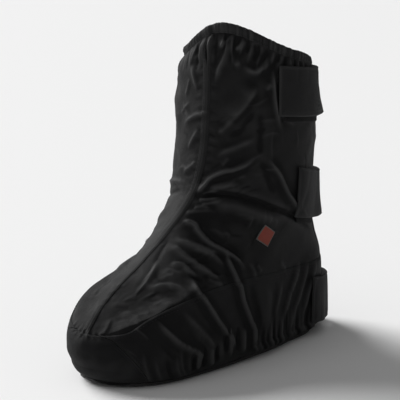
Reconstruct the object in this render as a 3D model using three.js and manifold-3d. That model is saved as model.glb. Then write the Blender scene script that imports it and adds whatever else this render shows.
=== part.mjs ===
// Winter overshoe: an insulated cloth boot that is pulled on over a shoe and closed at the back with three
// hook-and-loop straps. This is the left one of a pair. Sizes are millimetres, +Z is up, the toe points to -Y
// and the outer side of the foot is +X. The upper is one hollow wall, and every panel sewn onto it is cut
// from the same surface function, a little further out.
import * as THREE from "three";
import { mergeVertices } from "three/addons/utils/BufferGeometryUtils.js";
import Module from "manifold-3d";

const wasm = await Module();
wasm.setup();

// Overall sizes
const footLength = 323; // heel to toe over the cloth
const ballWidth = 124; // across the ball of the foot
const shaftDepth = 146; // front to back at the calf
const shaftWidth = 143; // side to side at the calf
const collarHeight = 331; // floor to the top of the hem, at the front
const collarDrop = 41; // how much lower the hem is at the back
const toeSwing = 9; // how far the toe leans to the inner side

// Cloth
const wall = 2.4; // shell cloth, wadding and lining together
const clearance = 0.3; // between pieces that lie on each other
const soleClearance = 0.5; // above and below the turned edge, which is only nearly flat
const seamAllowance = 0.4; // a panel stops this far short of its seam line
const panelThickness = 1.2; // toe cap and side bands
const turnRadius = 13; // the lower edge rolls under the foot
const turnedMargin = 8; // and lies flat for this far

// Panels
const seamWidth = 8; // felled seam down the front
const seamThickness = 0.8;
const seamDrift = 11; // how far it strays from the middle
const bandHeight = 86; // side bands, at the heel
const capLean = 36; // degrees that the toe cap's side seam leans
const capReach = 49; // floor end of that seam, measured back from the toe
const capCorner = 34; // where that seam meets the bands' upper seam, measured round from the front seam
const capNotch = 7; // how far the upper seam dips there
const capNotchFront = 12; // how far the dip spreads over the toe cap
const capNotchSide = 22; // and along the band

// Opening at the back
const slitWidth = 5;
const slitFoot = 24; // height where the slit starts
const flapWidth = 62;
const flapThickness = 1.8;
const flapFoot = 17; // height where the flap starts

// Straps and the loop patches under their free ends
const strapWidth = 50;
const strapThickness = 2.2;
const strapLength = 236; // what free and sewn below are shares of
const strapSlack = 9; // how far a strap stands off at the back
const strapFoot = 6; // no strap hangs lower than this
const loopThickness = 1.2;
const loopMargin = 6; // what shows of a loop patch round its strap
const strapSewn = 28; // length that is sewn down on the inner side

// Collar hem with its elastic
const hemHeight = 9;
const hemThickness = 5;

// Sole
const soleThickness = 2.6; // the sheet, without its ribs
const ribDepth = 1.2;
const ribWidth = 7;
const ribPitch = 12;
const soleInset = 7; // the sheet's edge lies this far inside the outline
const ribInset = 6; // and the ribs stop this far inside the sheet
const toeSpring = 5;
const archRise = 1.5;
const insoleThickness = 3;

// Cloth label on the outer ankle
const labelSide = 17;
const labelThickness = 0.8;
const labelTilt = 36; // degrees
const labelAcross = 127; // from the heel's back
const labelUp = 127; // above the floor

const soleTop = ribDepth + soleThickness;
const upperFoot = soleTop + soleClearance;
const rollTop = upperFoot + turnRadius;
const shellFront = collarHeight - hemHeight - clearance;
const shellBack = shellFront - collarDrop;

// Sections of the upper, from the top of the rolled edge to the hem. up and rise are the heights of the back
// line and the front line, as shares of the shell's heights there, and bow is how far the section arches
// between them. back and depth place it along the foot. calf goes from 0 on the foot to 1 on the shaft, and
// says which of the foot's and the shaft's sizes the other columns are shares of. fore, mid and rear are
// widths, toeRound and heelRound are the shares of the depth that the rounded ends take, and seam is the share
// of the front seam's drift.
const columns = "up rise bow back depth calf fore mid rear toeRound heelRound seam".split(" ");
const sections = [
  [0, 0, 0, 0.004, 0.982, 0, 0.96, 0.955, 0.75, 0.26, 0.155, 0],
  [0.08, 0.042, 0.006, 0, 1, 0, 1, 0.98, 0.79, 0.27, 0.155, 0],
  [0.264, 0.12, 0.07, 0.003, 0.976, 0, 0.95, 0.94, 0.79, 0.29, 0.16, 0],
  [0.315, 0.17, 0.058, 0.015, 0.878, 0, 0.87, 0.91, 0.78, 0.36, 0.18, -0.7],
  [0.36, 0.225, 0.045, 0.03, 0.862, 0.15, 0.785, 0.89, 0.78, 0.44, 0.22, -1],
  [0.41, 0.296, 0.026, 0.042, 0.852, 0.35, 0.74, 0.87, 0.79, 0.46, 0.28, -0.7],
  [0.468, 0.386, 0.01, 0.055, 0.885, 0.6, 0.76, 0.87, 0.82, 0.48, 0.36, 0],
  [0.537, 0.489, 0, 0.064, 0.965, 0.85, 0.86, 0.9, 0.87, 0.5, 0.44, 0.7],
  [0.639, 0.603, 0, 0.07, 1.05, 1, 0.94, 0.96, 0.93, 0.5, 0.5, 1],
  [0.765, 0.732, 0, 0.07, 1, 1, 0.98, 0.98, 0.98, 0.5, 0.5, 1],
  [0.881, 0.858, 0, 0.07, 0.98, 1, 0.98, 0.99, 1, 0.5, 0.5, 1],
  [0.953, 0.936, 0, 0.073, 0.97, 1, 0.96, 0.97, 0.98, 0.5, 0.5, 1],
  [1, 1, 0, 0.085, 0.9, 1, 0.88, 0.88, 0.88, 0.5, 0.5, 0.9],
].map((row) => Object.fromEntries(row.map((value, k) => [columns[k], value])));

// Where along a section, from its back, each of its three widths holds, and where the toe starts to lean
const widthAt = { rear: 0.12, mid: 0.45, fore: 0.75 };
const swingStart = 0.4;
const swingEnd = 1.1;

// The hem isn't level round the collar: at an angle from the front line, positive on the outer side, the
// cloth stands up or sags by a share of the collar's height, over a spread on each side.
const collarWaves = [
  { angle: 26, height: 0.033, spread: 38 },
  { angle: -40, height: -0.046, spread: 35 },
];
const waveFoot = 0.72; // share of the shell's back height where the waves begin
const rowPitch = 15; // most height between two rows of the mesh

// The rolled lower edge, from its inner margin up to the first section: how far each row lies inside the
// outline and how high, in shares of the roll's radius.
const roll = [
  { inset: 1 + turnedMargin / turnRadius, up: 0 },
  { inset: 1, up: 0 },
  { inset: 0.5, up: 0.134 },
  { inset: 0.134, up: 0.5 },
];

// Columns of the mesh on each side of the foot, from the front line to the back line
const seamCells = 1;
const sideCells = 18;
const flapCells = 3;
const cells = seamCells + sideCells + flapCells;
const endCrowding = 0.6; // how much closer the side's columns stand near both its ends
const outlineSteps = 160;
const trimReach = 6; // how far a cutting solid stands out from the cloth on both sides
const strapLevels = 4;
const sheetStep = 5; // of the outline's steps

const lerp = THREE.MathUtils.lerp;
const clamp = THREE.MathUtils.clamp;
const smoothstep = THREE.MathUtils.smoothstep;

// The section at any height of the back line, by a smooth curve through the table's rows
function sectionAt(up) {
  let k = 0;
  while (k < sections.length - 2 && up > sections[k + 1].up) k++;
  const span = sections[k + 1].up - sections[k].up;
  const t = (up - sections[k].up) / span;
  const slope = (i, name) => {
    const a = sections[Math.max(i - 1, 0)];
    const b = sections[Math.min(i + 1, sections.length - 1)];
    return ((b[name] - a[name]) / (b.up - a.up)) * span;
  };
  const section = {};
  for (const name of columns) {
    const [from, to] = [sections[k][name], sections[k + 1][name]];
    const [leave, arrive] = [slope(k, name), slope(k + 1, name)];
    section[name] =
      from * (1 + 2 * t) * (1 - t) ** 2 +
      leave * t * (1 - t) ** 2 +
      to * t * t * (3 - 2 * t) +
      arrive * t * t * (t - 1);
  }
  return section;
}

// Height of the underside above the floor: flat under heel and ball, a low arch, and the toe's spring
const archStart = 0.26; // shares of the foot's length, from the heel
const archEnd = 0.6;
const springStart = 0.8;

function underside(forward) {
  const share = forward / footLength;
  const waist = lerp(archStart, archEnd, 0.5);
  const arch = smoothstep(share, archStart, waist) - smoothstep(share, waist, archEnd);
  const spring = clamp((share - springStart) / (1 - springStart), 0, 1.1);
  return archRise * arch + toeSpring * spring * spring;
}

const bowScale = 27 / 4; // brings the peak of q² (1 - q) to 1
const roundEnd = (v) => Math.sqrt(1 - (1 - clamp(v, 0, 1)) ** 2);

// Half of one section's outline, as points from the front line to the back line. side is 1 for the outer
// half and -1 for the inner one, and inset draws the outline in.
function halfOutline(section, side, inset, lift) {
  const length = lerp(footLength, shaftDepth, section.calf) * section.depth - 2 * inset;
  const width = lerp(ballWidth, shaftWidth, section.calf);
  const back = section.back * footLength + inset;
  const low = lerp(rollTop, shellBack, section.up);
  const high = lerp(rollTop, shellFront, section.rise);
  const points = [];
  for (let k = 0; k <= outlineSteps; k++) {
    const q = (1 + Math.cos((Math.PI * k) / outlineSteps)) / 2;
    const base =
      q < widthAt.mid
        ? lerp(section.rear, section.mid, smoothstep(q, widthAt.rear, widthAt.mid))
        : lerp(section.mid, section.fore, smoothstep(q, widthAt.mid, widthAt.fore));
    const ends = roundEnd((1 - q) / section.toeRound) * roundEnd(q / section.heelRound);
    const forward = back + q * length;
    const swing = toeSwing * (1 - section.calf) * smoothstep(q, swingStart, swingEnd);
    const x = side * ((width * base) / 2 - inset) * ends - swing;
    const arched = lerp(low, high, q) + section.bow * collarHeight * bowScale * q * q * (1 - q);
    points.push(new THREE.Vector3(x, -forward, lift === null ? arched : lift));
  }
  return points;
}

// Both halves of an outline, cut apart at the front seam, which drifts to the inner side over the vamp and to
// the outer side up the shaft
function halves(section, inset, lift) {
  const outer = halfOutline(section, 1, inset, lift);
  const inner = halfOutline(section, -1, inset, lift);
  const [shrinking, growing] = section.seam > 0 ? [outer, inner] : [inner, outer];
  let left = Math.abs(seamDrift * section.seam);
  while (left > shrinking[0].distanceTo(shrinking[1])) {
    left -= shrinking[0].distanceTo(shrinking[1]);
    shrinking.shift();
    growing.unshift(shrinking[0]);
  }
  const start = shrinking[0].clone().lerp(shrinking[1], left / shrinking[0].distanceTo(shrinking[1]));
  shrinking[0] = start;
  growing.unshift(start);
  return [outer, inner];
}

// Picks points along a polyline at the mesh's columns: half the seam and half the flap at its two ends, and
// the side shared out between them.
function spread(points) {
  const run = [0];
  for (let k = 1; k < points.length; k++) run.push(run[k - 1] + points[k].distanceTo(points[k - 1]));
  const total = run[points.length - 1];
  const side = total - seamWidth / 2 - flapWidth / 2;
  const picked = [];
  let k = 1;
  for (let c = 0; c <= cells; c++) {
    const share = clamp((c - seamCells) / sideCells, 0, 1);
    const crowded = share - (endCrowding * Math.sin(2 * Math.PI * share)) / (2 * Math.PI);
    const distance =
      ((Math.min(c, seamCells) / seamCells) * seamWidth) / 2 +
      crowded * side +
      ((Math.max(c - seamCells - sideCells, 0) / flapCells) * flapWidth) / 2;
    while (k < points.length - 1 && run[k] <= distance) k++;
    const t = clamp((distance - run[k - 1]) / (run[k] - run[k - 1]), 0, 1);
    picked.push(points[k - 1].clone().lerp(points[k], t));
  }
  return picked;
}

// One row of the mesh, right round the boot: the outer side's columns from the front line to the back line,
// then the inner side's on to the front again. Column 0 is the front seam and column `cells` the back line.
function ring(section, inset, lift, height) {
  const [outer, inner] = halves(section, inset, lift).map(spread);
  const loop = [...outer, ...inner.slice(1, -1).reverse()];
  const fade = clamp(1 - (height - upperFoot) / (bandHeight - upperFoot), 0, 1);
  const wave = clamp((height / shellBack - waveFoot) / (1 - waveFoot), 0, 1) ** 2;
  const centre = loop[0].clone().add(loop[cells]).multiplyScalar(0.5);
  for (const p of loop) {
    p.z += underside(-p.y) * fade;
    const angle = THREE.MathUtils.radToDeg(Math.atan2(p.x - centre.x, centre.y - p.y));
    for (const w of collarWaves)
      p.z += w.height * collarHeight * wave * Math.exp(-(((angle - w.angle) / w.spread) ** 2));
  }
  return loop;
}

// All rows, with the height of the back line at each
const rows = [];
const rowHeights = [];
const lowest = sections[0];
for (const { inset, up } of roll) {
  const height = upperFoot + up * turnRadius;
  rows.push(ring(lowest, inset * turnRadius, height, height));
  rowHeights.push(height);
}
for (let k = 0; k < sections.length; k++) {
  const from = sections[k].up;
  const to = k + 1 < sections.length ? sections[k + 1].up : from;
  const steps = Math.max(Math.ceil(((to - from) * (shellBack - rollTop)) / rowPitch), 1);
  for (let s = 0; s < steps; s++) {
    const up = lerp(from, to, s / steps);
    const height = lerp(rollTop, shellBack, up);
    rows.push(ring(sectionAt(up), 0, null, height));
    rowHeights.push(height);
  }
}
const around = rows[0].length;
const wrap = (c) => ((c % around) + around) % around;

// Outward directions at the mesh's points
const outward = rows.map((row, r) =>
  row.map((p, c) => {
    const along = row[wrap(c + 1)].clone().sub(row[wrap(c - 1)]);
    const below = rows[Math.max(r - 1, 0)][c];
    const above = rows[Math.min(r + 1, rows.length - 1)][c];
    return along.cross(above.clone().sub(below)).normalize();
  }),
);

// A point of the upper's surface, `offset` outside it, at a row and column that may lie between two
function surface(row, column, offset) {
  const r = clamp(Math.floor(row), 0, rows.length - 2);
  const c = Math.floor(column);
  const [v, u] = [row - r, column - c];
  const mix = (grid) => {
    const lower = grid[r][wrap(c)].clone().lerp(grid[r][wrap(c + 1)], u);
    const upper = grid[r + 1][wrap(c)].clone().lerp(grid[r + 1][wrap(c + 1)], u);
    return lower.lerp(upper, v);
  };
  return mix(rows).addScaledVector(mix(outward).normalize(), offset);
}

// The row at a height of the back line, and the column at a distance from the back line along a row
function rowAt(height) {
  let r = 0;
  while (r < rows.length - 2 && rowHeights[r + 1] < height) r++;
  return r + (height - rowHeights[r]) / (rowHeights[r + 1] - rowHeights[r]);
}

function columnAt(row, distance) {
  const step = Math.sign(distance);
  let left = Math.abs(distance);
  let column = cells;
  for (let k = 0; k < cells; k++) {
    const length = surface(row, column, 0).distanceTo(surface(row, column - step, 0));
    if (left <= length) return column - (step * left) / length;
    left -= length;
    column -= step;
  }
  return column;
}

// The whole numbers between two ends, with the ends themselves
function stations(from, to) {
  const crumb = 0.04; // no mesh line this close to an end
  const list = [from];
  for (let k = Math.ceil(from + crumb); k < to - crumb; k++) list.push(k);
  return [...list, to];
}

// A closed solid between an inner and an outer net of points, each an array of rows. Where closed is true,
// each row's last point joins its first.
function solidBetween(inner, outer, closed) {
  const [m, n] = [inner.length, inner[0].length];
  const positions = [...inner.flat(), ...outer.flat()].flatMap((p) => p.toArray());
  const at = (net, i, j) => net * m * n + i * n + (j % n);
  const faces = [];
  const quad = (a, b, c, d) => faces.push(a, b, c, a, c, d);
  for (let i = 0; i + 1 < m; i++)
    for (let j = 0; j < (closed ? n : n - 1); j++) {
      quad(at(1, i, j), at(1, i, j + 1), at(1, i + 1, j + 1), at(1, i + 1, j));
      faces.push(at(0, i, j), at(0, i + 1, j + 1), at(0, i, j + 1));
      faces.push(at(0, i, j), at(0, i + 1, j), at(0, i + 1, j + 1));
    }
  for (let j = 0; j < (closed ? n : n - 1); j++) {
    quad(at(0, 0, j), at(0, 0, j + 1), at(1, 0, j + 1), at(1, 0, j));
    quad(at(0, m - 1, j + 1), at(0, m - 1, j), at(1, m - 1, j), at(1, m - 1, j + 1));
  }
  if (!closed)
    for (let i = 0; i + 1 < m; i++) {
      quad(at(0, i + 1, 0), at(0, i, 0), at(1, i, 0), at(1, i + 1, 0));
      quad(at(0, i, n - 1), at(0, i + 1, n - 1), at(1, i + 1, n - 1), at(1, i, n - 1));
    }
  return toSolid(positions, faces);
}

function toSolid(positions, faces) {
  const geometry = new THREE.BufferGeometry();
  geometry.setAttribute("position", new THREE.Float32BufferAttribute(positions, 3));
  geometry.setIndex(faces);
  return solidOf(geometry);
}

// A three.js geometry as a solid, and a solid as a geometry
function solidOf(geometry) {
  const bare = geometry.clone();
  bare.deleteAttribute("normal");
  bare.deleteAttribute("uv");
  const merged = mergeVertices(bare, 1e-4);
  const vertProperties = merged.attributes.position.array;
  const triVerts = new Uint32Array(merged.index.array);
  return new wasm.Manifold(new wasm.Mesh({ numProp: 3, vertProperties, triVerts }));
}

function geometryOf(solid) {
  const mesh = solid.getMesh();
  const geometry = new THREE.BufferGeometry();
  geometry.setAttribute("position", new THREE.BufferAttribute(new Float32Array(mesh.vertProperties), 3));
  geometry.setIndex(new THREE.BufferAttribute(new Uint32Array(mesh.triVerts), 1));
  return geometry;
}

function block(size, centre, turn = new THREE.Euler()) {
  const geometry = new THREE.BoxGeometry(size.x, size.y, size.z);
  geometry.applyMatrix4(new THREE.Matrix4().makeRotationFromEuler(turn));
  geometry.translate(centre.x, centre.y, centre.z);
  return solidOf(geometry);
}

// A piece of cloth that lies on the upper between two rows and two columns. lift gives how far its inner
// face stands off the upper, from its share along the columns.
function patch(rowFrom, rowTo, columnFrom, columnTo, lift, thickness) {
  const across = stations(columnFrom, columnTo);
  const net = (extra) =>
    stations(rowFrom, rowTo).map((r) =>
      across.map((c) => surface(r, c, lift((c - columnFrom) / (columnTo - columnFrom)) + extra)),
    );
  return solidBetween(net(0), net(thickness), false);
}

// A strap's cloth stands upright. It hangs straight past the lower edge, and doesn't follow the shell in
// under the hem.
const endSpare = 12;
const hangRow = Math.round(rowAt(lerp(rollTop, shellBack, sections[1].up)));
const shoulderRow = rows.length - 2;

function upright(height, column, offset) {
  let r = hangRow;
  while (r < shoulderRow - 1 && surface(r + 1, column, 0).z < height) r++;
  const [lower, upper] = [surface(r, column, 0), surface(r + 1, column, 0)];
  const row = r + clamp((height - lower.z) / (upper.z - lower.z), 0, 1);
  const point = surface(row, column, 0);
  const out = surface(row, column, 1).sub(point);
  out.z = 0;
  point.addScaledVector(out.normalize(), offset);
  point.z = height;
  return point;
}

// A tape round the back, between two distances from the back line, positive on the outer side. climb is how
// steeply it rises toward the toe, and lift depends on the shares along it and across it. It is laid out
// longer than it is, and both its ends are then cut off, the one on the outer side with a lean.
function tape(low, high, from, to, climb, lean, lift, thickness) {
  const middle = rowAt((low + high) / 2);
  const columnFrom = columnAt(middle, from + endSpare);
  const columnTo = columnAt(middle, to - endSpare);
  const across = stations(columnFrom, columnTo);
  const levels = Array.from({ length: strapLevels + 1 }, (_, k) => k / strapLevels);
  const net = (extra) =>
    levels.map((level) =>
      across.map((c) => {
        const share = (c - columnFrom) / (columnTo - columnFrom);
        const height = lerp(low, high, level) - climb * surface(rowAt(low), c, 0).y;
        return upright(height, c, lift(share, level) + extra);
      }),
    );
  return [
    { end: from, keep: 1, tilt: lean },
    { end: to, keep: -1, tilt: 0 },
  ].reduce((solid, { end, keep, tilt }) => {
    const column = columnAt(middle, end);
    const at = surface(middle, column, 0);
    const way = surface(middle, column + keep, 0).sub(at).setZ(0).normalize().setZ(tilt).normalize();
    return solid.trimByPlane(way.toArray(), at.dot(way));
  }, solidBetween(net(0), net(thickness), false));
}

const topRow = rows.length - 1;
const reach = 2 * collarHeight; // longer than the boot any way
const onUpper = () => clearance;
const onPanel = () => 2 * clearance + panelThickness;

// Distances between neighbouring rows and between neighbouring columns
const rowStep = (row, column) => surface(row, column, 0).distanceTo(surface(row + 1, column, 0));
const columnStep = (row, column) => surface(row, column, 0).distanceTo(surface(row, column + 1, 0));
const flapEdge = seamCells + sideCells;
const hemRow = topRow - (2 * seamAllowance) / rowStep(topRow - 1, 0); // where what lies on the shell ends

// Upper: a wall right round, open at the collar and underneath, with the slit down the back
function makeUpper() {
  const net = (offset) => rows.map((row, r) => row.map((_, c) => surface(r, c, offset)));
  const shell = solidBetween(net(-wall), net(0), true);
  const slit = block(
    new THREE.Vector3(slitWidth, shaftDepth, reach),
    new THREE.Vector3(0, 0, slitFoot + reach / 2),
  );
  return shell.subtract(slit);
}

// Side bands and toe cap: one layer of cloth, cut apart by a leaning plane. Its upper seam follows a row of
// the upper and dips where it meets the plane, so the layer is made too high and trimmed.
const seamRow = rowAt(bandHeight);
const layerTop = Math.ceil(seamRow);
const layerFoot = 2; // its lowest row, in the rolled edge

const capEdge = (z) => -(footLength - capReach) - z * Math.tan(THREE.MathUtils.degToRad(capLean));

function seamAt(column) {
  let from = -capCorner;
  for (let k = 0; k < Math.abs(column); k += 0.5)
    from += surface(seamRow, Math.sign(column) * k, 0).distanceTo(surface(seamRow, Math.sign(column) * (k + 0.5), 0));
  const dip = capNotch * Math.exp(-((from / (from < 0 ? capNotchFront : capNotchSide)) ** 2));
  return seamRow - (dip + seamAllowance) / rowStep(layerTop - 1, column);
}

function bandLayer() {
  const side = flapEdge - seamAllowance / columnStep(hangRow, flapEdge - 1);
  const layer = patch(layerFoot, layerTop, -side, side, onUpper, panelThickness);
  const columns = Array.from({ length: 4 * flapEdge + 1 }, (_, k) => k / 2 - flapEdge);
  const lower = stations(layerFoot - 0.5, layerTop - 3).map((r) => () => r);
  const net = (offset) => [...lower, seamAt].map((row) => columns.map((c) => surface(row(c), c, offset)));
  return layer.intersect(solidBetween(net(-trimReach), net(trimReach), false));
}

function toeBlock(gap) {
  const box = new THREE.BoxGeometry(reach, reach, reach);
  box.translate(0, -reach / 2 - gap, 0);
  box.rotateX(THREE.MathUtils.degToRad(capLean));
  box.translate(0, capEdge(0), 0);
  return solidOf(box);
}

const makeToeCap = () => bandLayer().intersect(toeBlock(seamAllowance / 2));

function makeBand(side) {
  const half = block(new THREE.Vector3(reach, reach, reach), new THREE.Vector3((side * reach) / 2, 0, 0));
  return bandLayer().subtract(toeBlock(-seamAllowance / 2)).intersect(half);
}

// Front seam: the felled ridge where the outer and the inner half meet, from the toe cap to the hem
const makeFrontSeam = () =>
  patch(seamRow + seamAllowance / rowStep(layerTop, 0), hemRow, -seamCells, seamCells, onUpper, seamThickness);

// Flap that covers the slit
const makeFlap = () =>
  patch(rowAt(flapFoot), hemRow, flapEdge, flapEdge + 2 * flapCells, onUpper, flapThickness);

// Straps: up is the height of a strap's middle on the back line, as a share of the shell's height there, climb
// is how steeply it rises toward the toe, and lean how far its free end's upper corner reaches past the lower
// one. free and sewn are how far its two ends reach from the back line round the outer and the inner side, as
// shares of the strap's usual length, and grip is the share that lies on the loop patch. flare is the share of
// the slack that its upper edge lacks, and over is what its ends are laid on.
const straps = [
  { name: "top", up: 0.922, climb: 0.13, lean: 0.12, free: 0.605, sewn: 0.36, grip: 0.3, flare: 0.95, over: onUpper },
  { name: "middle", up: 0.525, climb: 0.18, lean: 0.04, free: 0.4, sewn: 0.36, grip: 0.17, flare: 0, over: onUpper },
  { name: "heel", up: 0.126, climb: 0.2, lean: 0, free: 0.33, sewn: 0.34, grip: 0.15, flare: 0, over: onPanel },
];

function makeStrap({ up, climb, lean, free, sewn, grip, flare, over }) {
  const middle = up * shellBack;
  const leave = grip / (free + sewn);
  const land = 1 - strapSewn / ((free + sewn) * strapLength);
  const onLoop = over() + loopThickness + 3 * clearance;
  const lift = (share, level) => {
    const away = smoothstep(share, leave, lerp(leave, land, 0.4)) - smoothstep(share, lerp(leave, land, 0.6), land);
    const base = lerp(onLoop, over() + clearance, smoothstep(share, lerp(leave, land, 0.8), land));
    return base + strapSlack * away * (1 - flare * level);
  };
  const [low, high] = [middle - strapWidth / 2, middle + strapWidth / 2];
  const [front, end] = [free * strapLength, -sewn * strapLength];
  return tape(Math.max(low, strapFoot), high, front, end, climb, lean, lift, strapThickness);
}

function makeLoopPatch({ up, climb, lean, free, grip, over }) {
  const middle = up * shellBack - loopMargin;
  const from = free * strapLength - loopMargin;
  const to = Math.max((free - grip) * strapLength, flapWidth / 2 + loopMargin);
  const [low, high] = [middle - strapWidth / 2, middle + strapWidth / 2];
  const lift = () => over() + clearance;
  return tape(Math.max(low, strapFoot), high, from, to, climb, lean, lift, loopThickness);
}

// Hem: a casing with elastic in it, round the collar and open at the slit. profile is its section, in shares
// of its thickness outward and of its height.
function makeHem() {
  const profile = [
    { out: -0.5, up: 0.15 },
    { out: -0.3, up: 0 },
    { out: 0.3, up: 0 },
    { out: 0.5, up: 0.15 },
    { out: 0.5, up: 0.85 },
    { out: 0.3, up: 1 },
    { out: -0.3, up: 1 },
    { out: -0.5, up: 0.85 },
  ];
  const gap = slitWidth / 2 / columnStep(topRow, cells - 1);
  const ends = stations(cells + gap - around, cells - gap);
  const loop = ends.map((c) => {
    const foot = surface(topRow, c, -wall / 2);
    const out = surface(topRow, c, 1).sub(surface(topRow, c, 0));
    foot.z = Math.max(surface(topRow, c, 0).z, surface(topRow, c, -wall).z) + clearance;
    out.z = 0;
    out.normalize();
    return profile.map((p) => {
      const point = foot.clone().addScaledVector(out, p.out * hemThickness);
      point.z += p.up * hemHeight;
      return point;
    });
  });
  const count = profile.length;
  const faces = [];
  for (let i = 0; i + 1 < loop.length; i++)
    for (let j = 0; j < count; j++) {
      const [a, b] = [i * count + j, i * count + ((j + 1) % count)];
      faces.push(a, b + count, b, a, a + count, b + count);
    }
  const last = (loop.length - 1) * count;
  for (let j = 1; j + 1 < count; j++) faces.push(0, j, j + 1, last, last + j + 1, last + j);
  return toSolid(loop.flat().flatMap((p) => p.toArray()), faces);
}

// A flat sheet with the foot's outline, drawn in by inset, that follows the underside at a height above it
function sheet(inset, height, thickness) {
  const outer = halfOutline(lowest, 1, inset, 0);
  const inner = halfOutline(lowest, -1, inset, 0);
  const net = (lift) => {
    const lines = [];
    for (let k = sheetStep; k < outlineSteps; k += sheetStep)
      lines.push(
        [0, 0.5, 1].map((share) => {
          const p = inner[k].clone().lerp(outer[k], share);
          p.z = underside(-p.y) + lift;
          return p;
        }),
      );
    return lines;
  };
  return solidBetween(net(height), net(height + thickness), false);
}

// Outsole: a sheet with plain cross ribs under the heel and the ball, where the underside is flat
function makeOutsole() {
  const sole = sheet(soleInset, ribDepth, soleThickness);
  const bed = sheet(soleInset + ribInset, 0, ribDepth + soleThickness / 2);
  const height = ribDepth + soleThickness / 2;
  const pads = [
    { from: 0.05, to: archStart },
    { from: archEnd, to: springStart },
  ];
  return pads.reduce((whole, { from, to }) => {
    const length = (to - from) * footLength;
    const count = Math.floor((length - ribWidth) / ribPitch) + 1;
    const ribs = Array.from({ length: count }, (_, k) =>
      block(
        new THREE.Vector3(ballWidth, ribWidth, height),
        new THREE.Vector3(0, -(from * footLength + ribWidth / 2 + k * ribPitch), height / 2),
      ).intersect(bed),
    );
    return ribs.reduce((body, rib) => body.add(rib), whole);
  }, sole);
}

const makeInsole = () => sheet(turnRadius, upperFoot + wall + soleClearance, insoleThickness);

// Label: a square of the surface's own curve, turned on its corner
function makeLabel() {
  const middle = rowAt(labelUp - (labelAcross * collarDrop) / shaftDepth / 2);
  const layer = patch(middle - 3, middle + 3, seamCells + 2, flapEdge, onUpper, labelThickness);
  const tilt = new THREE.Euler(-THREE.MathUtils.degToRad(labelTilt), 0, 0);
  const place = new THREE.Vector3(reach / 2, -labelAcross, labelUp);
  return layer.intersect(block(new THREE.Vector3(reach, labelSide, labelSide), place, tilt));
}

// Colours and finishes
const cloth = new THREE.MeshStandardMaterial({ color: 0x1d1e20, roughness: 0.82, metalness: 0 });
const toughCloth = new THREE.MeshStandardMaterial({ color: 0x151618, roughness: 0.88, metalness: 0 });
const webbing = new THREE.MeshStandardMaterial({ color: 0x141415, roughness: 0.7, metalness: 0 });
const loopPile = new THREE.MeshStandardMaterial({ color: 0x101011, roughness: 0.95, metalness: 0 });
const elastic = new THREE.MeshStandardMaterial({ color: 0x18191b, roughness: 0.85, metalness: 0 });
const soleSheet = new THREE.MeshStandardMaterial({ color: 0x0f0f10, roughness: 0.75, metalness: 0 });
const felt = new THREE.MeshStandardMaterial({ color: 0x2b2b2d, roughness: 0.95, metalness: 0 });
const labelCloth = new THREE.MeshStandardMaterial({ color: 0x9c3524, roughness: 0.7, metalness: 0 });

const boot = new THREE.Group();

function place(name, solid, material) {
  const mesh = new THREE.Mesh(geometryOf(solid), material);
  mesh.name = name;
  boot.add(mesh);
}

place("upper", makeUpper(), cloth);
place("front_seam", makeFrontSeam(), cloth);
place("toe_cap", makeToeCap(), toughCloth);
place("band_outer_side", makeBand(1), toughCloth);
place("band_inner_side", makeBand(-1), toughCloth);
place("back_flap", makeFlap(), cloth);
place("collar_hem", makeHem(), elastic);
for (const strap of straps) {
  place("strap_" + strap.name, makeStrap(strap), webbing);
  place("loop_patch_" + strap.name, makeLoopPatch(strap), loopPile);
}
place("label", makeLabel(), labelCloth);
place("outsole", makeOutsole(), soleSheet);
place("insole", makeInsole(), felt);

// The origin is on the floor, at the middle of the whole boot's box
const box = new THREE.Box3().setFromObject(boot);
const middle = box.getCenter(new THREE.Vector3());
boot.position.set(-middle.x, -middle.y, -box.min.z);

const overshoe = new THREE.Group();
overshoe.add(boot);

export default overshoe;
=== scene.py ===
"""Winter overshoe, the left one of a pair: an insulated cloth boot with a felled front seam, a toe cap and
side bands of heavier cloth, an elastic collar and three hook-and-loop straps behind. Lengths in the sections
below are millimetres; meshes are written in metres."""
import math

import bpy
import numpy as np
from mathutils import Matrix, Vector


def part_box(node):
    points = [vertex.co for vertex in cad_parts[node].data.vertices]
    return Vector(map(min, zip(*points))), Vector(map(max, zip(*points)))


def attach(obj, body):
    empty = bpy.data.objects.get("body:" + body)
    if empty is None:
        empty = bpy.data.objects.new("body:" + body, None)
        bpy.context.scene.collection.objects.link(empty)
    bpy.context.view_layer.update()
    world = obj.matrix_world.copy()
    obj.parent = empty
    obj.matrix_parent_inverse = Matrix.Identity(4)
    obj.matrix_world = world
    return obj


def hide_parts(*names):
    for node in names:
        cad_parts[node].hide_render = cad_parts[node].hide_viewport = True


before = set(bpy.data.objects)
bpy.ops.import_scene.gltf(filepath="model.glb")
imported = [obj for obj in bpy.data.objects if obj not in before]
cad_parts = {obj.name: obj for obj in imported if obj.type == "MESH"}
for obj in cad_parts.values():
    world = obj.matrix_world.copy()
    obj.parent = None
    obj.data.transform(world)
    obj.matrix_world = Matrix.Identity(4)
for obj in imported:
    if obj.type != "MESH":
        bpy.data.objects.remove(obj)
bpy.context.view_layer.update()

# Upper. A shell of coated cloth over wadding, cut as an outer and an inner half that meet in the front seam.
# Cross-sections carry its form from the rolled lower edge to the hem, and every other piece lies on it. The
# creases, hollows and gathers of the worn cloth are laid over that form.
foot_length, ball_width = 323, 124
shaft_depth, shaft_width = 146, 143
collar_height, collar_drop = 331, 41  # height in front, and how much lower the back is
toe_swing = 9  # the toe leans to the inner side
wall = 2.4  # shell, wadding and lining together
clearance = 0.3  # between pieces that lie on each other
upper_foot = 4.3  # underside of the turned edge
turn_radius, turned_margin = 13, 8
seam_drift = 11  # how far the front seam wanders from the middle
band_height, hem_height = 86, 9
arch_start, arch_top, arch_end, spring_start = 0.26, 0.43, 0.6, 0.8  # shares of the foot's length
arch_rise, toe_spring = 1.5, 5
roll_top = upper_foot + turn_radius
shell_front = collar_height - hem_height - clearance
shell_back = shell_front - collar_drop

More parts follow.
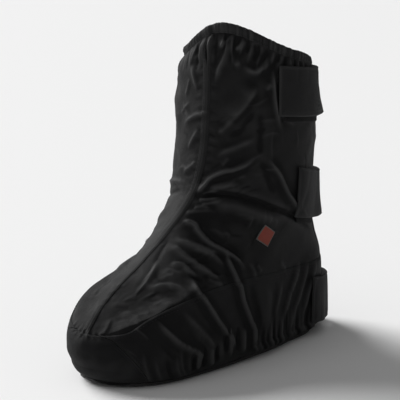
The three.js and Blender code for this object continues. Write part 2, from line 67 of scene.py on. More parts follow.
# Each cross-section: height behind and in front, bow of the sides, back end and depth, how much it belongs to
# the calf, widths from front to back, roundness of both ends, and drift of the seam
columns = "up rise bow back depth calf fore mid rear toe_round heel_round seam".split()
sections = np.array([
    [0, 0, 0, 0.004, 0.982, 0, 0.96, 0.955, 0.75, 0.26, 0.155, 0],
    [0.08, 0.042, 0.006, 0, 1, 0, 1, 0.98, 0.79, 0.27, 0.155, 0],
    [0.264, 0.12, 0.07, 0.003, 0.976, 0, 0.95, 0.94, 0.79, 0.29, 0.16, 0],
    [0.315, 0.17, 0.058, 0.015, 0.878, 0, 0.87, 0.91, 0.78, 0.36, 0.18, -0.7],
    [0.36, 0.225, 0.045, 0.03, 0.862, 0.15, 0.785, 0.89, 0.78, 0.44, 0.22, -1],
    [0.41, 0.296, 0.026, 0.042, 0.852, 0.35, 0.74, 0.87, 0.79, 0.46, 0.28, -0.7],
    [0.468, 0.386, 0.01, 0.055, 0.885, 0.6, 0.76, 0.87, 0.82, 0.48, 0.36, 0],
    [0.537, 0.489, 0, 0.064, 0.965, 0.85, 0.86, 0.9, 0.87, 0.5, 0.44, 0.7],
    [0.639, 0.603, 0, 0.07, 1.05, 1, 0.94, 0.96, 0.93, 0.5, 0.5, 1],
    [0.765, 0.732, 0, 0.07, 1, 1, 0.98, 0.98, 0.98, 0.5, 0.5, 1],
    [0.881, 0.858, 0, 0.07, 0.98, 1, 0.98, 0.99, 1, 0.5, 0.5, 1],
    [0.953, 0.936, 0, 0.073, 0.97, 1, 0.96, 0.97, 0.98, 0.5, 0.5, 1],
    [1, 1, 0, 0.085, 0.9, 1, 0.88, 0.88, 0.88, 0.5, 0.5, 0.9],
])
# The collar's waves: angle from the front, share of the collar's height, and spread
collar_waves = [(26, 0.033, 38), (-40, -0.046, 35), (4, 0.011, 24), (112, 0.007, 30)]
wave_foot = 0.72  # share of the shaft's height from which they grow
outline_steps = 600


def mix(a, b, t):
    return a + (b - a) * t


def smooth(x, low, high):
    t = np.clip((x - low) / (high - low), 0, 1)
    return t * t * (3 - 2 * t)


def section_at(up):
    """The sections' columns at a level, on a smooth curve through the table's rows."""
    k = int(np.clip(np.searchsorted(sections[:, 0], up, side="right") - 1, 0, len(sections) - 2))
    span = sections[k + 1, 0] - sections[k, 0]
    t = (up - sections[k, 0]) / span

    def slope(i):
        below, above = sections[max(i - 1, 0)], sections[min(i + 1, len(sections) - 1)]
        return (above - below) / (above[0] - below[0]) * span

    row = (
        sections[k] * (1 + 2 * t) * (1 - t) ** 2
        + slope(k) * t * (1 - t) ** 2
        + sections[k + 1] * t * t * (3 - 2 * t)
        + slope(k + 1) * t * t * (t - 1)
    )
    return dict(zip(columns, row))


def underside(forward):
    """Height of the underside above the floor: a low arch, and the toe's spring."""
    share = forward / foot_length
    arch = smooth(share, arch_start, arch_top) - smooth(share, arch_top, arch_end)
    spring = np.clip((share - spring_start) / (1 - spring_start), 0, 1.1)
    return arch_rise * arch + toe_spring * spring * spring


def round_end(share):
    return np.sqrt(1 - (1 - np.clip(share, 0, 1)) ** 2)


def half_outline(row, side, inset, height):
    """Half of one section's outline, from the front line to the back line."""
    q = (1 + np.cos(np.pi * np.arange(outline_steps + 1) / outline_steps)) / 2
    length = mix(foot_length, shaft_depth, row["calf"]) * row["depth"] - 2 * inset
    width = mix(ball_width, shaft_width, row["calf"])
    low = mix(roll_top, shell_back, row["up"])
    high = mix(roll_top, shell_front, row["rise"])
    girth = np.where(
        q < 0.45,
        mix(row["rear"], row["mid"], smooth(q, 0.12, 0.45)),
        mix(row["mid"], row["fore"], smooth(q, 0.45, 0.75)),
    )
    ends = round_end((1 - q) / row["toe_round"]) * round_end(q / row["heel_round"])
    swing = toe_swing * (1 - row["calf"]) * smooth(q, 0.4, 1.1)
    x = side * (width * girth / 2 - inset) * ends - swing
    arched = mix(low, high, q) + row["bow"] * collar_height * 27 / 4 * q * q * (1 - q)
    z = arched if height is None else np.full_like(q, height)
    return np.stack([x, -(row["back"] * foot_length + inset + q * length), z], 1)


def run_of(points):
    return np.concatenate([[0], np.cumsum(np.linalg.norm(np.diff(points, axis=0), axis=1))])


def halves(row, inset, height):
    """Both halves of an outline, cut apart at the front seam, which drifts from side to side."""
    outer = half_outline(row, 1, inset, height)
    inner = half_outline(row, -1, inset, height)
    drift = seam_drift * row["seam"]
    if abs(drift) < 1e-6:
        return outer, inner
    shorter, longer = (outer, inner) if drift > 0 else (inner, outer)
    run = run_of(shorter)
    k = int(np.searchsorted(run, abs(drift), side="right"))
    start = mix(shorter[k - 1], shorter[k], (abs(drift) - run[k - 1]) / (run[k] - run[k - 1]))
    longer = np.concatenate([[start], shorter[1:k][::-1], longer])
    shorter = np.concatenate([[start], shorter[k:]])
    return (shorter, longer) if drift > 0 else (longer, shorter)


# The form as a net: a row for each level (0 at the top of the rolled edge, 1 at the hem, -1 under the roll and
# -2 at its inner margin), a column for each share of the way from the front seam round to the back line,
# positive on the outer side.
net_levels = np.concatenate([np.linspace(-2, -1, 12), np.linspace(-1, 0, 40)[1:], np.linspace(0, 1, 420)[1:]])
net_shares = np.linspace(-1, 1, 1201)
net = np.empty((len(net_levels), len(net_shares), 3))
net_girth = np.empty((len(net_levels), 2))
for i, at_level in enumerate(net_levels):
    if at_level >= 0:
        row, inset, lift = section_at(at_level), 0, None
        back_height = mix(roll_top, shell_back, at_level)
    else:
        angle = math.pi / 2 * min(-at_level, 1)
        row = section_at(0)
        inset = turn_radius * (1 - math.cos(angle)) + max(-at_level - 1, 0) * turned_margin
        lift = back_height = upper_foot + turn_radius * (1 - math.sin(angle))
    pair = halves(row, inset, lift)
    for j, mask in enumerate((net_shares >= 0, net_shares < 0)):
        run = run_of(pair[j])
        net_girth[i, j] = run[-1]
        for axis in range(3):
            net[i, mask, axis] = np.interp(np.abs(net_shares[mask]) * run[-1], run, pair[j][:, axis])
    fade = np.clip(1 - (back_height - upper_foot) / (band_height - upper_foot), 0, 1)
    net[i, :, 2] += underside(-net[i, :, 1]) * fade
    wave = np.clip((back_height / shell_back - wave_foot) / (1 - wave_foot), 0, 1) ** 2
    middle = (pair[0][0] + pair[0][-1]) / 2
    angles = np.degrees(np.arctan2(net[i, :, 0] - middle[0], middle[1] - net[i, :, 1]))
    for wave_angle, height, spread in collar_waves:
        net[i, :, 2] += height * collar_height * wave * np.exp(-(((angles - wave_angle) / spread) ** 2))

along = np.gradient(net, axis=1)
along[:, 0] = along[:, -1] = (net[:, 1] - net[:, -2]) / 2
net_out = np.cross(along, np.gradient(net, axis=0))
net_out /= np.linalg.norm(net_out, axis=2, keepdims=True)
steps_up = np.linalg.norm(np.diff(net, axis=0), axis=2)
net_rise = np.concatenate([np.zeros((1, len(net_shares))), np.cumsum(steps_up, axis=0)])


def look_up(table, levels, shares):
    """A table's value at any level and share, between the net's points."""
    i = np.interp(levels, net_levels, np.arange(len(net_levels)))
    j = (np.clip(shares, -1, 1) + 1) / 2 * (len(net_shares) - 1)
    i0 = np.clip(i.astype(int), 0, len(net_levels) - 2)
    j0 = np.clip(j.astype(int), 0, len(net_shares) - 2)
    v, u = i - i0, j - j0
    if table.ndim == 3:
        v, u = v[..., None], u[..., None]
    return (table[i0, j0] * (1 - u) + table[i0, j0 + 1] * u) * (1 - v) + (
        table[i0 + 1, j0] * (1 - u) + table[i0 + 1, j0 + 1] * u
    ) * v


def girth_at(levels, shares):
    """Length round the side that a share is on, from the front seam to the back line."""
    outer = np.interp(levels, net_levels, net_girth[:, 0])
    inner = np.interp(levels, net_levels, net_girth[:, 1])
    return np.where(shares >= 0, outer, inner)


# The form's own origin is on the floor, below the middle of the heel's back. The frame gives its place: the
# flap lies across the back line, and the upper reaches back to it.
flap_low, flap_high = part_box("back_flap")
origin = 1000 * np.array([(flap_low.x + flap_high.x) / 2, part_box("upper")[1].y, 0])

# Creases of the worn cloth, listed one by one. Each is a ridge, or with a height below 0 a trough, along a
# line
# of places in mm: round from the front seam, positive on the outer side, and up from the rolled edge. A lean
# makes the flank on the line's left the steeper one, and the ends are the shares over which it fades.
row_height = shell_back - roll_top
keel_height, keel_reach = 2.6, 13
deepest, highest = -3.6, 5  # of the creases together
# Broad hollows and swellings of the worn shoe: how high, where, and how far they reach round and up
broad_forms = [
    (-3.4, 165, 246, 46, 30),
    (1.6, 38, 205, 26, 34),
    (-1.4, 62, 196, 18, 60),
    (1.2, 100, 150, 40, 30),
    (-1.2, -30, 225, 22, 26),
    (-3.4, 66, 76, 32, 14),
    (-3.4, 30, 66, 28, 10),
    (2.2, 4, 82, 20, 20),
    (2, 46, 116, 30, 13),
    (-1.2, 150, 100, 40, 18),
]
# Broad patches of painted shade, or above 0 of painted light: how much, where, and how far they reach
painted_light_and_shade = [
    (-0.4, 6, 52, 62, 26),
    (-0.9, 26, 82, 34, 20),
    (-0.3, 70, 60, 40, 30),
    (0.4, -14, 130, 24, 34),
    (0.6, 30, 112, 32, 22),
    (0.25, 72, 96, 34, 16),
    (-0.4, 60, 140, 40, 14),
]
creases = []


def crease(width, height, *line, lean=0.0, ends=(0.3, 0.3)):
    creases.append((width, height, line, lean, ends))


# under the hem
crease(2.6, 2.6, (11, 255), (18, 259), (23, 263), lean=0.2, ends=(0.3, 0.2))
crease(2.6, 2.4, (26, 255), (32, 258), (35, 262), lean=0.2, ends=(0.3, 0.2))
crease(4, 3.4, (19, 260), (18, 250), (13, 242), (8, 230), lean=-0.4, ends=(0.2, 0.4))
crease(4, -3, (-18, 263), (-17, 257), (-14, 252), (-15, 241), ends=(0.1, 0.4))
crease(3.2, 2.4, (-9, 262), (-10, 255), (-12, 247), ends=(0.2, 0.3))
crease(3.6, 2.2, (-22, 250), (-18, 240), (-12, 225), lean=0.4, ends=(0.3, 0.4))
crease(3.6, 2.6, (35, 247), (47, 245), (54, 248), (60, 260), lean=0.3)
crease(2.4, 1.4, (61, 255), (58, 250), (48, 246))
crease(3.4, -2.2, (45, 262), (49, 257), (46, 251), ends=(0.1, 0.4))
crease(3.4, 1.4, (27, 246), (35, 249), ends=(0.4, 0.4))
# shaft
crease(2.8, 1.8, (-33, 199), (-15, 207), (-2, 210), (6, 212))
crease(9, 4.0, (18, 200), (30, 210), (42, 223), (51, 236), lean=-0.8, ends=(0.4, 0.25))
crease(5, -2.2, (23, 193), (35, 199), (43, 208), (51, 218))
crease(3.6, 2, (13, 195), (22, 201), (30, 208))
crease(4.5, 2.4, (14, 175), (25, 182), (42, 190), (55, 196), lean=0.3)
crease(3, 1.2, (22, 168), (28, 178))
crease(3.2, 4.2, (4, 145), (10, 152), (13, 157), (18, 161), (27, 165), (35, 167), (44, 171), (50, 175),
       (55, 180),
       lean=-0.3, ends=(0.15, 0.3))
crease(6, 2.6, (12, 150), (28, 154), (46, 154))
crease(2.8, -3.8, (3, 144), (16, 146), (28, 147), (39, 147), (58, 144), (88, 137), (128, 128),
       (183, 115), (253, 99),
       ends=(0.1, 0.3))
crease(8, 2.6, (22, 139), (45, 139), (68, 135), (100, 128), (140, 119), lean=0.5, ends=(0.2, 0.3))
crease(3, 4.4, (66, 179), (82, 166), (103, 147), (151, 127), (192, 115), lean=0.4, ends=(0.2, 0.3))
crease(5, -2, (58, 178), (68, 166), (77, 155), (88, 146))
crease(6, -2.2, (54, 219), (57, 203), (58, 187), (62, 177))
crease(3.4, 3.8, (67, 253), (68, 240), (70, 226), (74, 213), (81, 200), lean=0.3, ends=(0.3, 0.4))
crease(3.6, 1.6, (73, 219), (84, 213), (97, 207), ends=(0.2, 0.4))
crease(3, 1.4, (60, 232), (66, 241), ends=(0.4, 0.4))
# instep
crease(2, 2.2, (9, 145), (17, 148), (28, 149), ends=(0.2, 0.4))
crease(2, 2, (10, 142), (22, 144), (31, 146), ends=(0.1, 0.4))
crease(2, 1.8, (14, 139), (25, 141), (34, 144), ends=(0.2, 0.4))
crease(2, 1.6, (10, 137), (19, 138), (29, 137), ends=(0.1, 0.4))
crease(2.2, 1.4, (5, 134), (15, 135), (25, 136), (36, 135), ends=(0.1, 0.4))
crease(2.4, 4, (7, 130), (16, 130), (25, 128), (32, 125), (55, 117), (81, 110), (107, 103), (144, 92),
       (185, 76),
       lean=0.8, ends=(0.1, 0.3))
crease(3, 4.4, (97, 106), (120, 97), (143, 87), (179, 69), (190, 48), (200, 28), (204, 9), (202, -7),
       lean=0.4,
       ends=(0.15, 0.25))
crease(3.2, 2.4, (13, 121), (37, 117), (65, 111), (103, 102), lean=0.4, ends=(0.2, 0.3))
crease(2.6, 1.8, (43, 114), (63, 110), (98, 101), (134, 89), lean=0.4, ends=(0.2, 0.3))
crease(2.8, 3.2, (15, 117), (28, 115), (48, 109), (79, 100), (118, 87), (157, 71), lean=0.5,
       ends=(0.15, 0.3))
crease(2.8, 2.8, (33, 108), (54, 104), (82, 95), (103, 87), lean=0.6, ends=(0.2, 0.3))
crease(2.4, 1.4, (32, 105), (51, 101), (76, 95), lean=0.3)
crease(2.6, -1.6, (77, 96), (95, 89), (106, 85), (117, 81), ends=(0.2, 0.3))
crease(3, 4.2, (90, 90), (122, 73), (137, 60), (151, 43), (164, 27), (177, 8), (180, -2), lean=0.5,
       ends=(0.15, 0.3))
crease(3, 1.8, (115, 85), (139, 76), (161, 69), lean=0.2)
crease(3, 1.8, (39, 94), (50, 94), (65, 91), (84, 85), (108, 75), lean=0.6)
crease(4.5, -1.1, (54, 88), (74, 83), (95, 76), (112, 68))
crease(2.4, 0.7, (54, 83), (71, 80), (94, 72), lean=0.3)
crease(2.6, 1.2, (24, 83), (41, 80), (58, 73), lean=0.5)
crease(2.2, 0.9, (38, 84), (50, 81), (67, 74), lean=0.3)
crease(2.8, -1.2, (22, 79), (35, 78), (47, 74), (62, 65), ends=(0.2, 0.3))
crease(3, -1.0, (9, 122), (10, 118), (12, 114), (16, 109), (20, 104), (22, 100), (20, 96), ends=(0.2, 0.3))
crease(2.4, 1.4, (14, 111), (21, 105), (24, 97), ends=(0.3, 0.4))
crease(2.4, 1.4, (19, 110), (27, 100), (26, 91))
crease(2, 0.8, (-7, 85), (-1, 87), (6, 89))
crease(2, 0.8, (-7, 89), (-1, 91), (8, 94))
crease(2, 0.7, (-3, 94), (3, 96), (10, 97))
crease(2, 0.7, (-7, 81), (1, 84), (9, 85))
crease(2, 0.7, (18, 90), (25, 91), (33, 90))
crease(2, 0.7, (11, 87), (20, 87), (29, 86))
crease(2.6, 1.2, (18, 80), (20, 75), (17, 67), lean=0.4, ends=(0.3, 0.3))
# bands
crease(4.5, 3.4, (74, 67), (83, 54), (91, 44), (104, 30), (124, 16), (140, 0), lean=0.6, ends=(0.2, 0.3))
crease(3.6, 1.4, (52, 65), (62, 54), (71, 42), lean=0.3)
crease(4, 1.8, (103, 63), (117, 48), (130, 35), (142, 23), (152, 7), lean=0.3)
crease(3, -3, (121, 10), (117, 0), (113, -9))
crease(2.8, -3, (136, 16), (131, 4), (127, -7))
crease(2.8, -3, (152, 18), (149, 6), (147, -5))
crease(3, -3.2, (167, 30), (164, 16), (162, 2))
crease(2.8, -2.6, (182, 28), (179, 14), (177, 0))
crease(3, 2.6, (127, 18), (123, 4), (119, -8), lean=0.3)
crease(3, 2.6, (144, 16), (141, 2), (139, -8), lean=0.3)
crease(3, 2.4, (173, 28), (169, 10), (167, -4), lean=0.3)
crease(3, 2.4, (192, 26), (188, 10), (185, -5), lean=0.3)
crease(9, 2.2, (225, 62), (226, 44), (224, 30), (221, 11), lean=0.2)
crease(7, -2, (196, 66), (205, 50), (209, 32), (211, 16))
crease(3.4, 3, (277, 75), (276, 55), (267, 42), (259, 28), (248, 12), lean=0.3, ends=(0.2, 0.3))
crease(3.2, 2.6, (294, 74), (294, 53), (285, 36), (276, 22), (264, 3), lean=0.3, ends=(0.2, 0.3))
crease(3.2, 2.4, (313, 71), (308, 48), (300, 31), (289, 8), lean=0.3, ends=(0.2, 0.3))
crease(3, 2, (253, 59), (244, 41), (235, 21), lean=0.2)
crease(2.6, 1, (167, 75), (177, 69), (184, 61))
crease(2.8, 1.4, (166, 87), (192, 77), (208, 66))
crease(2.6, 1.2, (185, 83), (213, 72))
crease(2.6, 1.2, (227, 80), (258, 68))
# inner side, as the other shoe of the pair shows it
crease(2.6, 1.4, (-34, 222), (-29, 230), (-26, 239))
crease(2.6, 1.2, (-42, 207), (-33, 213), (-23, 218))
crease(3, 1.6, (-21, 178), (-14, 189), (-7, 198), lean=0.3)
crease(3, 1.6, (-22, 160), (-11, 166), (-4, 172), lean=0.3)
crease(9, 2.6, (-40, 190), (-55, 208), (-72, 222), (-92, 229), lean=0.4)
crease(2.6, -1.8, (-5, 148), (-28, 144), (-60, 137), (-97, 126), ends=(0.3, 0.4))
crease(3, 2, (-5, 153), (-33, 152), (-66, 147), (-100, 138), lean=-0.3, ends=(0.3, 0.4))
crease(4.5, 1.8, (-18, 140), (-39, 126), (-72, 113), (-112, 95), ends=(0.3, 0.4))
crease(3.2, 2.4, (-28, 117), (-48, 108), (-75, 97), (-117, 79), lean=-0.4, ends=(0.4, 0.3))
crease(3, 2.2, (-30, 106), (-47, 95), (-73, 82), lean=-0.4, ends=(0.4, 0.3))
crease(4, 3.4, (-69, 97), (-117, 76), (-153, 47), (-175, 16), lean=-0.4, ends=(0.2, 0.3))
crease(4, 3.2, (-112, 95), (-161, 74), (-187, 45), (-200, 11), lean=-0.4, ends=(0.2, 0.3))
crease(7, 2.6, (-107, 195), (-124, 174), (-147, 148), (-170, 126), lean=-0.5)
crease(5, -2, (-90, 190), (-110, 163), (-131, 140))
crease(6, 2.4, (-197, 63), (-214, 40), (-220, 13))
crease(3.4, 2.8, (-276, 71), (-268, 45), (-251, 16), lean=-0.3, ends=(0.2, 0.3))
crease(3.4, 2.4, (-298, 71), (-291, 40), (-275, 8), lean=-0.3, ends=(0.2, 0.3))
chance = np.random.default_rng(7)

# Gathers under the elastic hem, along the lower edge where the cloth is turned in, and beside the front seam
for k in range(84):
    at = mix(-218, 218, (k + chance.uniform(0.2, 0.8)) / 84)
    reach, slant = chance.uniform(7, 24), chance.uniform(-6, 6)
    size = chance.uniform(1.0, 2.4) * (-1 if k % 2 else 1)
    crease(chance.uniform(1.5, 2.8), size, (at, 263), (at + slant / 2, 263 - reach / 2),
           (at + slant, 263 - reach),
           ends=(0.05, 0.6))
for side in (1, -1):
    for first, last, count, size in ((196, 262, 10, 1.7), (225, 330, 17, 1.8), (60, 118, 6, 1.2)):
        for k in range(count):
            at = side * mix(first, last, (k + chance.uniform(0.2, 0.8)) / count)
            reach, slant = chance.uniform(12, 42), side * chance.uniform(-3, 9)
            height = size * chance.uniform(0.6, 1.2) * (-1 if k % 3 == 2 else 1)
            crease(chance.uniform(1.8, 3.2), height, (at, -15), (at, 0), (at + slant, reach),
                   ends=(0.25, 0.5))
    for k in range(44):
        at = mix(72, 256, (k + chance.uniform(0.2, 0.8)) / 44)
        reach = chance.uniform(9, 20)
        height = chance.uniform(0.1, 0.4) * (-1 if k % 2 else 1)
        crease(chance.uniform(1.3, 2.2), height, (side * 4, at), (side * reach, at + chance.uniform(-4, 4)),
               ends=(0.2, 0.5))

# Puckers across the toe cap's upper seam
for k in range(15):
    at = mix(-30, 30, (k + chance.uniform(0.2, 0.8)) / 15)
    crease(chance.uniform(1.3, 2), chance.uniform(0.4, 0.9) * (-1 if k % 2 else 1), (at, 58),
           (at * 0.85, 66),
           (at * 0.7, 73), ends=(0.4, 0.4))

# Fine wrinkles that run with the large folds: the patch they lie in, how many, how long, how steep, how even
for low_at, high_at, count, longest, steep, spread in (
    ((10, 96), (80, 134), 26, 52, -14, 3),
    ((30, 80), (120, 106), 24, 52, -17, 3),
    ((12, 76), (60, 90), 10, 30, -8, 3),
    ((40, 30), (140, 70), 14, 44, -48, 8),
    ((5, 142), (46, 160), 14, 30, 10, 10),
    ((8, 164), (68, 240), 18, 34, 24, 12),
    ((66, 118), (170, 160), 16, 40, -30, 10),
    ((66, 170), (190, 236), 14, 44, -70, 12),
    ((140, 5), (320, 64), 24, 34, -76, 8),
):
    for side in (1, -1):
        for _ in range(count):
            at = np.array([mix(low_at[k], high_at[k], chance.uniform()) for k in (0, 1)])
            slope = math.radians(steep + chance.normal(0, spread))
            ahead = np.array([math.cos(slope), math.sin(slope)]) * longest * chance.uniform(0.35, 1)
            bend = np.array([-ahead[1], ahead[0]]) * chance.normal(0, 0.07)
            line = [tuple((at + ahead * t + bend * (1 - (2 * t - 1) ** 2)) * (side, 1)) for t in (0, 0.5, 1)]
            height = chance.uniform(0.15, 0.7) * chance.choice([1, 1, -1])
            crease(chance.uniform(1.2, 2.4), height, *line, lean=chance.uniform(0, 0.6) * side,
                   ends=(0.4, 0.4))


def on_cloth(round_by, up):
    """Share and level of a place given in mm, round from the front seam and up from the rolled edge."""
    level = np.where(up < 0, up / (math.pi / 2 * turn_radius), up / row_height)
    return round_by / girth_at(level, round_by), level


def broad_patches(patches):
    """The soft patches of a table laid over each other on the net."""
    total = np.zeros(net.shape[:2])
    for amount, round_by, up, reach_round, reach_up in patches:
        share, level = on_cloth(np.array([float(round_by)]), np.array([float(up)]))
        off = net - look_up(net, level, share)[0]
        flat, tall = (off[..., :2] ** 2).sum(2) / reach_round**2, (off[..., 2] / reach_up) ** 2
        total += amount * np.exp(-flat - tall)
    return total


# The relief of all creases. Each runs on a smooth curve through its places, and only the part of the net that
# it can reach is raised.
levels_per_mm, shares_per_mm = 1 / 190, 1 / 200
net_sag = broad_patches(broad_forms)
net_relief = np.zeros(net.shape[:2])
for width, height, line, lean, (fade_in, fade_out) in creases:
    line = np.array(line, float)
    line = np.stack(on_cloth(line[:, 0], line[:, 1]), 1)
    ends = np.concatenate([[2 * line[0] - line[1]], line, [2 * line[-1] - line[-2]]])
    t = np.linspace(0, len(line) - 1, 24 * len(line))[:, None]
    k = np.clip(t[:, 0].astype(int), 0, len(line) - 2)
    t = t - k[:, None]
    a, b, c, d = ends[k], ends[k + 1], ends[k + 2], ends[k + 3]
    path = 0.5 * (2 * b + (c - a) * t + (2 * a - 5 * b + 4 * c - d) * t * t + (3 * b - a - 3 * c + d) * t**3)
    spine = look_up(net, path[:, 1], path[:, 0])
    over = look_up(net_out, path[:, 1], path[:, 0])
    ahead = np.gradient(spine, axis=0)
    left = np.cross(over, ahead)
    left /= np.linalg.norm(left, axis=1, keepdims=True)
    run = run_of(spine)
    run /= run[-1]
    strength = smooth(run, 0, fade_in) * smooth(1 - run, 0, fade_out)
    reach = 3.4 * width
    margin_up, margin_round = reach * levels_per_mm, reach * shares_per_mm
    first, last = path.min(axis=0), path.max(axis=0)
    rows = slice(*np.searchsorted(net_levels, [first[1] - margin_up, last[1] + margin_up]))
    cols = slice(*np.searchsorted(net_shares, [first[0] - margin_round, last[0] + margin_round]))
    block = net[rows, cols].reshape(-1, 3)
    nearest = np.empty(len(block), int)
    for start in range(0, len(block), 20000):
        part = block[start : start + 20000]
        gaps = (part**2).sum(1)[:, None] - 2 * part @ spine.T + (spine**2).sum(1)[None]
        nearest[start : start + 20000] = gaps.argmin(1)
    off = block - spine[nearest]
    away = np.linalg.norm(off, axis=1)
    flank = 0.86 * width * (1 - lean * 0.7 * np.tanh((off * left[nearest]).sum(1) / 0.4))
    crisp = mix(1.35, 2.0, smooth(width, 3.5, 8.0))
    ridge = np.exp(-((away / flank) ** crisp)) * smooth(-away, -reach, -0.55 * reach)
    net_relief[rows, cols] += (height * strength[nearest] * ridge).reshape(net_relief[rows, cols].shape)

# Soft unevenness of the wadding
for wave, size in ((95, 0.4), (55, 0.25), (30, 0.16), (17, 0.1)):
    for _ in range(5):
        direction = chance.normal(size=3)
        direction /= np.linalg.norm(direction)
        net_relief += size / 2 * np.sin(net @ direction * 2 * math.pi / wave + chance.uniform(0, 6.28))
# The seam's doubled cloth is stiff, so that the shoe is keeled along it
from_seam = np.abs(net_shares) * np.where(net_shares >= 0, net_girth[:, :1], net_girth[:, 1:])
keel = np.exp(-np.sqrt(from_seam**2 + 1.5**2) / keel_reach)
net_relief = np.clip(net_relief, deepest, highest) + net_sag
net_relief += keel_height * keel * smooth(net_levels, 0.1, 0.35)[:, None]
net_relief *= (smooth(net_levels, -1.0, -0.3) * (1 - 0.75 * smooth(net_levels, 0.975, 1)))[:, None]

# How far each place stands above the cloth within 4 mm of it. The colour shows it as painted highlight on the
# crests and painted shade in the troughs, and in part as crests rubbed pale; the broad patches of painted
# light and shade are added to it.
around = net_relief
for axis, half_window in ((0, 5), (1, 8)) * 2:
    wide = [(half_window + 1, half_window) if k == axis else (0, 0) for k in (0, 1)]
    total = np.cumsum(np.pad(around, wide, mode="edge"), axis=axis)
    window = 2 * half_window + 1
    last = total.shape[axis]
    around = (total.take(range(window, last), axis) - total.take(range(last - window), axis)) / window
net_painted_shading_and_rub = net_relief - around + broad_patches(painted_light_and_shade)


def grid(levels, first, last, count):
    """Levels and shares of a net with a row for each level, between two edges given at each row."""
    t = np.linspace(0, 1, count)[None]
    shares = np.asarray(first)[:, None] * (1 - t) + np.asarray(last)[:, None] * t
    return np.broadcast_to(np.asarray(levels)[:, None], shares.shape).copy(), shares


def on_form(levels, shares, offset):
    """Points that stand off the form by an offset."""
    return look_up(net, levels, shares) + look_up(net_out, levels, shares) * np.asarray(offset)[..., None]


def relief(levels, shares):
    return look_up(net_relief, levels, shares)


# Painted highlight on crests and painted shade in troughs, in part rubbing, with the broad painted patches
def painted_shading_and_rub_at(levels, shares):
    return look_up(net_painted_shading_and_rub, levels, shares)


def cloth_uv(levels, shares):
    """Places on the cloth in metres, round the shoe and up it."""
    return np.stack([shares * girth_at(levels, shares), look_up(net_rise, levels, shares)], -1) / 1000


def placed(name, data):
    """A new object in the scene, at the origin."""
    made = bpy.data.objects.new(name, data)
    bpy.context.collection.objects.link(made)
    return made


def new_piece(name, points, faces, smooth_faces, uv, tones):
    """A mesh object from points in mm, with its places on the cloth and, by name, values over its surface."""
    mesh = bpy.data.meshes.new(name)
    mesh.from_pydata(((points + origin) / 1000).tolist(), [], faces)
    mesh.polygons.foreach_set("use_smooth", smooth_faces)
    corners = np.empty(len(mesh.loops), int)
    mesh.loops.foreach_get("vertex_index", corners)
    mesh.uv_layers.new(name="cloth").data.foreach_set("uv", uv[corners].ravel())
    for key, values in tones.items():
        mesh.attributes.new(key, "FLOAT", "POINT").data.foreach_set("value", values)
    mesh.update()
    return placed(name, mesh)


sparse = 4  # a hidden inner net has one point for so many of the outer net's


def cloth(name, outer, inner, uv, tones):
    """A closed piece of cloth between a fine outer net and a sparse inner one."""
    rows, cols = outer.shape[:2]
    coarse = inner.shape[:2]
    index = np.arange(rows * cols).reshape(rows, cols)
    under = rows * cols + np.arange(coarse[0] * coarse[1]).reshape(coarse)
    cells = (index[:-1, :-1], index[:-1, 1:], index[1:, 1:], index[1:, :-1])
    back = (under[:-1, :-1], under[1:, :-1], under[1:, 1:], under[:-1, 1:])
    faces = np.stack(cells, -1).reshape(-1, 4).tolist()
    fine = len(faces)
    faces += np.stack(back, -1).reshape(-1, 4).tolist()
    sides = [
        (index[0], under[0]),
        (index[:, -1], under[:, -1]),
        (index[-1, ::-1], under[-1, ::-1]),
        (index[::-1, 0], under[::-1, 0]),
    ]
    for line, hem in sides:
        for k in range(len(hem) - 1):
            top = line[k * sparse : (k + 1) * sparse + 1]
            faces.append([*top[::-1].tolist(), int(hem[k]), int(hem[k + 1])])
    points = np.concatenate([outer.reshape(-1, 3), inner.reshape(-1, 3)])
    all_uv = np.concatenate([uv.reshape(-1, 2), uv[::sparse, ::sparse].reshape(-1, 2)])
    spread = {key: np.concatenate([v.ravel(), v[::sparse, ::sparse].ravel()]) for key, v in tones.items()}
    return new_piece(name, points, faces, np.arange(len(faces)) < fine, all_uv, spread)


def lowest_near(values):
    """The least value near each sparse point, so that an inner face stays under the outer one."""
    padded = np.pad(values, sparse, mode="edge")
    low = np.full_like(values, np.inf)
    for i in range(0, 2 * sparse + 1, 2):
        for j in range(0, 2 * sparse + 1, 2):
            low = np.minimum(low, padded[i : i + values.shape[0], j : j + values.shape[1]])
    return low[::sparse, ::sparse]


def border_distance(points):
    """How far each point of a net is from the net's nearest edge, measured along its rows and columns."""
    nearest = np.full(points.shape[:2], np.inf)
    for axis in (0, 1):
        gaps = np.linalg.norm(np.diff(points, axis=axis), axis=2)
        run = np.concatenate([np.zeros_like(gaps.take([0], axis)), np.cumsum(gaps, axis=axis)], axis=axis)
        nearest = np.minimum(nearest, np.minimum(run, run.take([-1], axis) - run))
    return nearest


def panel(name, levels, shares, offset, thickness, edge=1.0, groove=(), rubbed=1.0, uv=None):
    """A cut piece of cloth on the form. Its inner face stands off by `offset`, and its edges are rounded."""
    uv = cloth_uv(levels, shares) if uv is None else uv
    bumps = relief(levels, shares)
    rim = border_distance(look_up(net, levels, shares))
    height = thickness * (0.45 + 0.55 * round_end(rim / edge))
    for at, depth, wide in groove:
        height = height - depth * np.exp(-(((rim - at) / wide) ** 2))
    outer = on_form(levels, shares, offset + height + bumps)
    inner = on_form(levels[::sparse, ::sparse], shares[::sparse, ::sparse], offset + lowest_near(bumps))
    tones = {"crest": painted_shading_and_rub_at(levels, shares), "rim": rubbed * np.exp(-rim / 0.9)}
    return cloth(name, outer, inner, uv, tones)


def level_at(height):
    """The level whose back line is at a height above the floor."""
    if height >= roll_top:
        return (height - roll_top) / row_height
    return -math.degrees(math.asin(1 - (height - upper_foot) / turn_radius)) / 90


band_seam = level_at(band_height)  # the level of the bands' upper seam
slit_half = 2.5
shell_thickness = 1.1


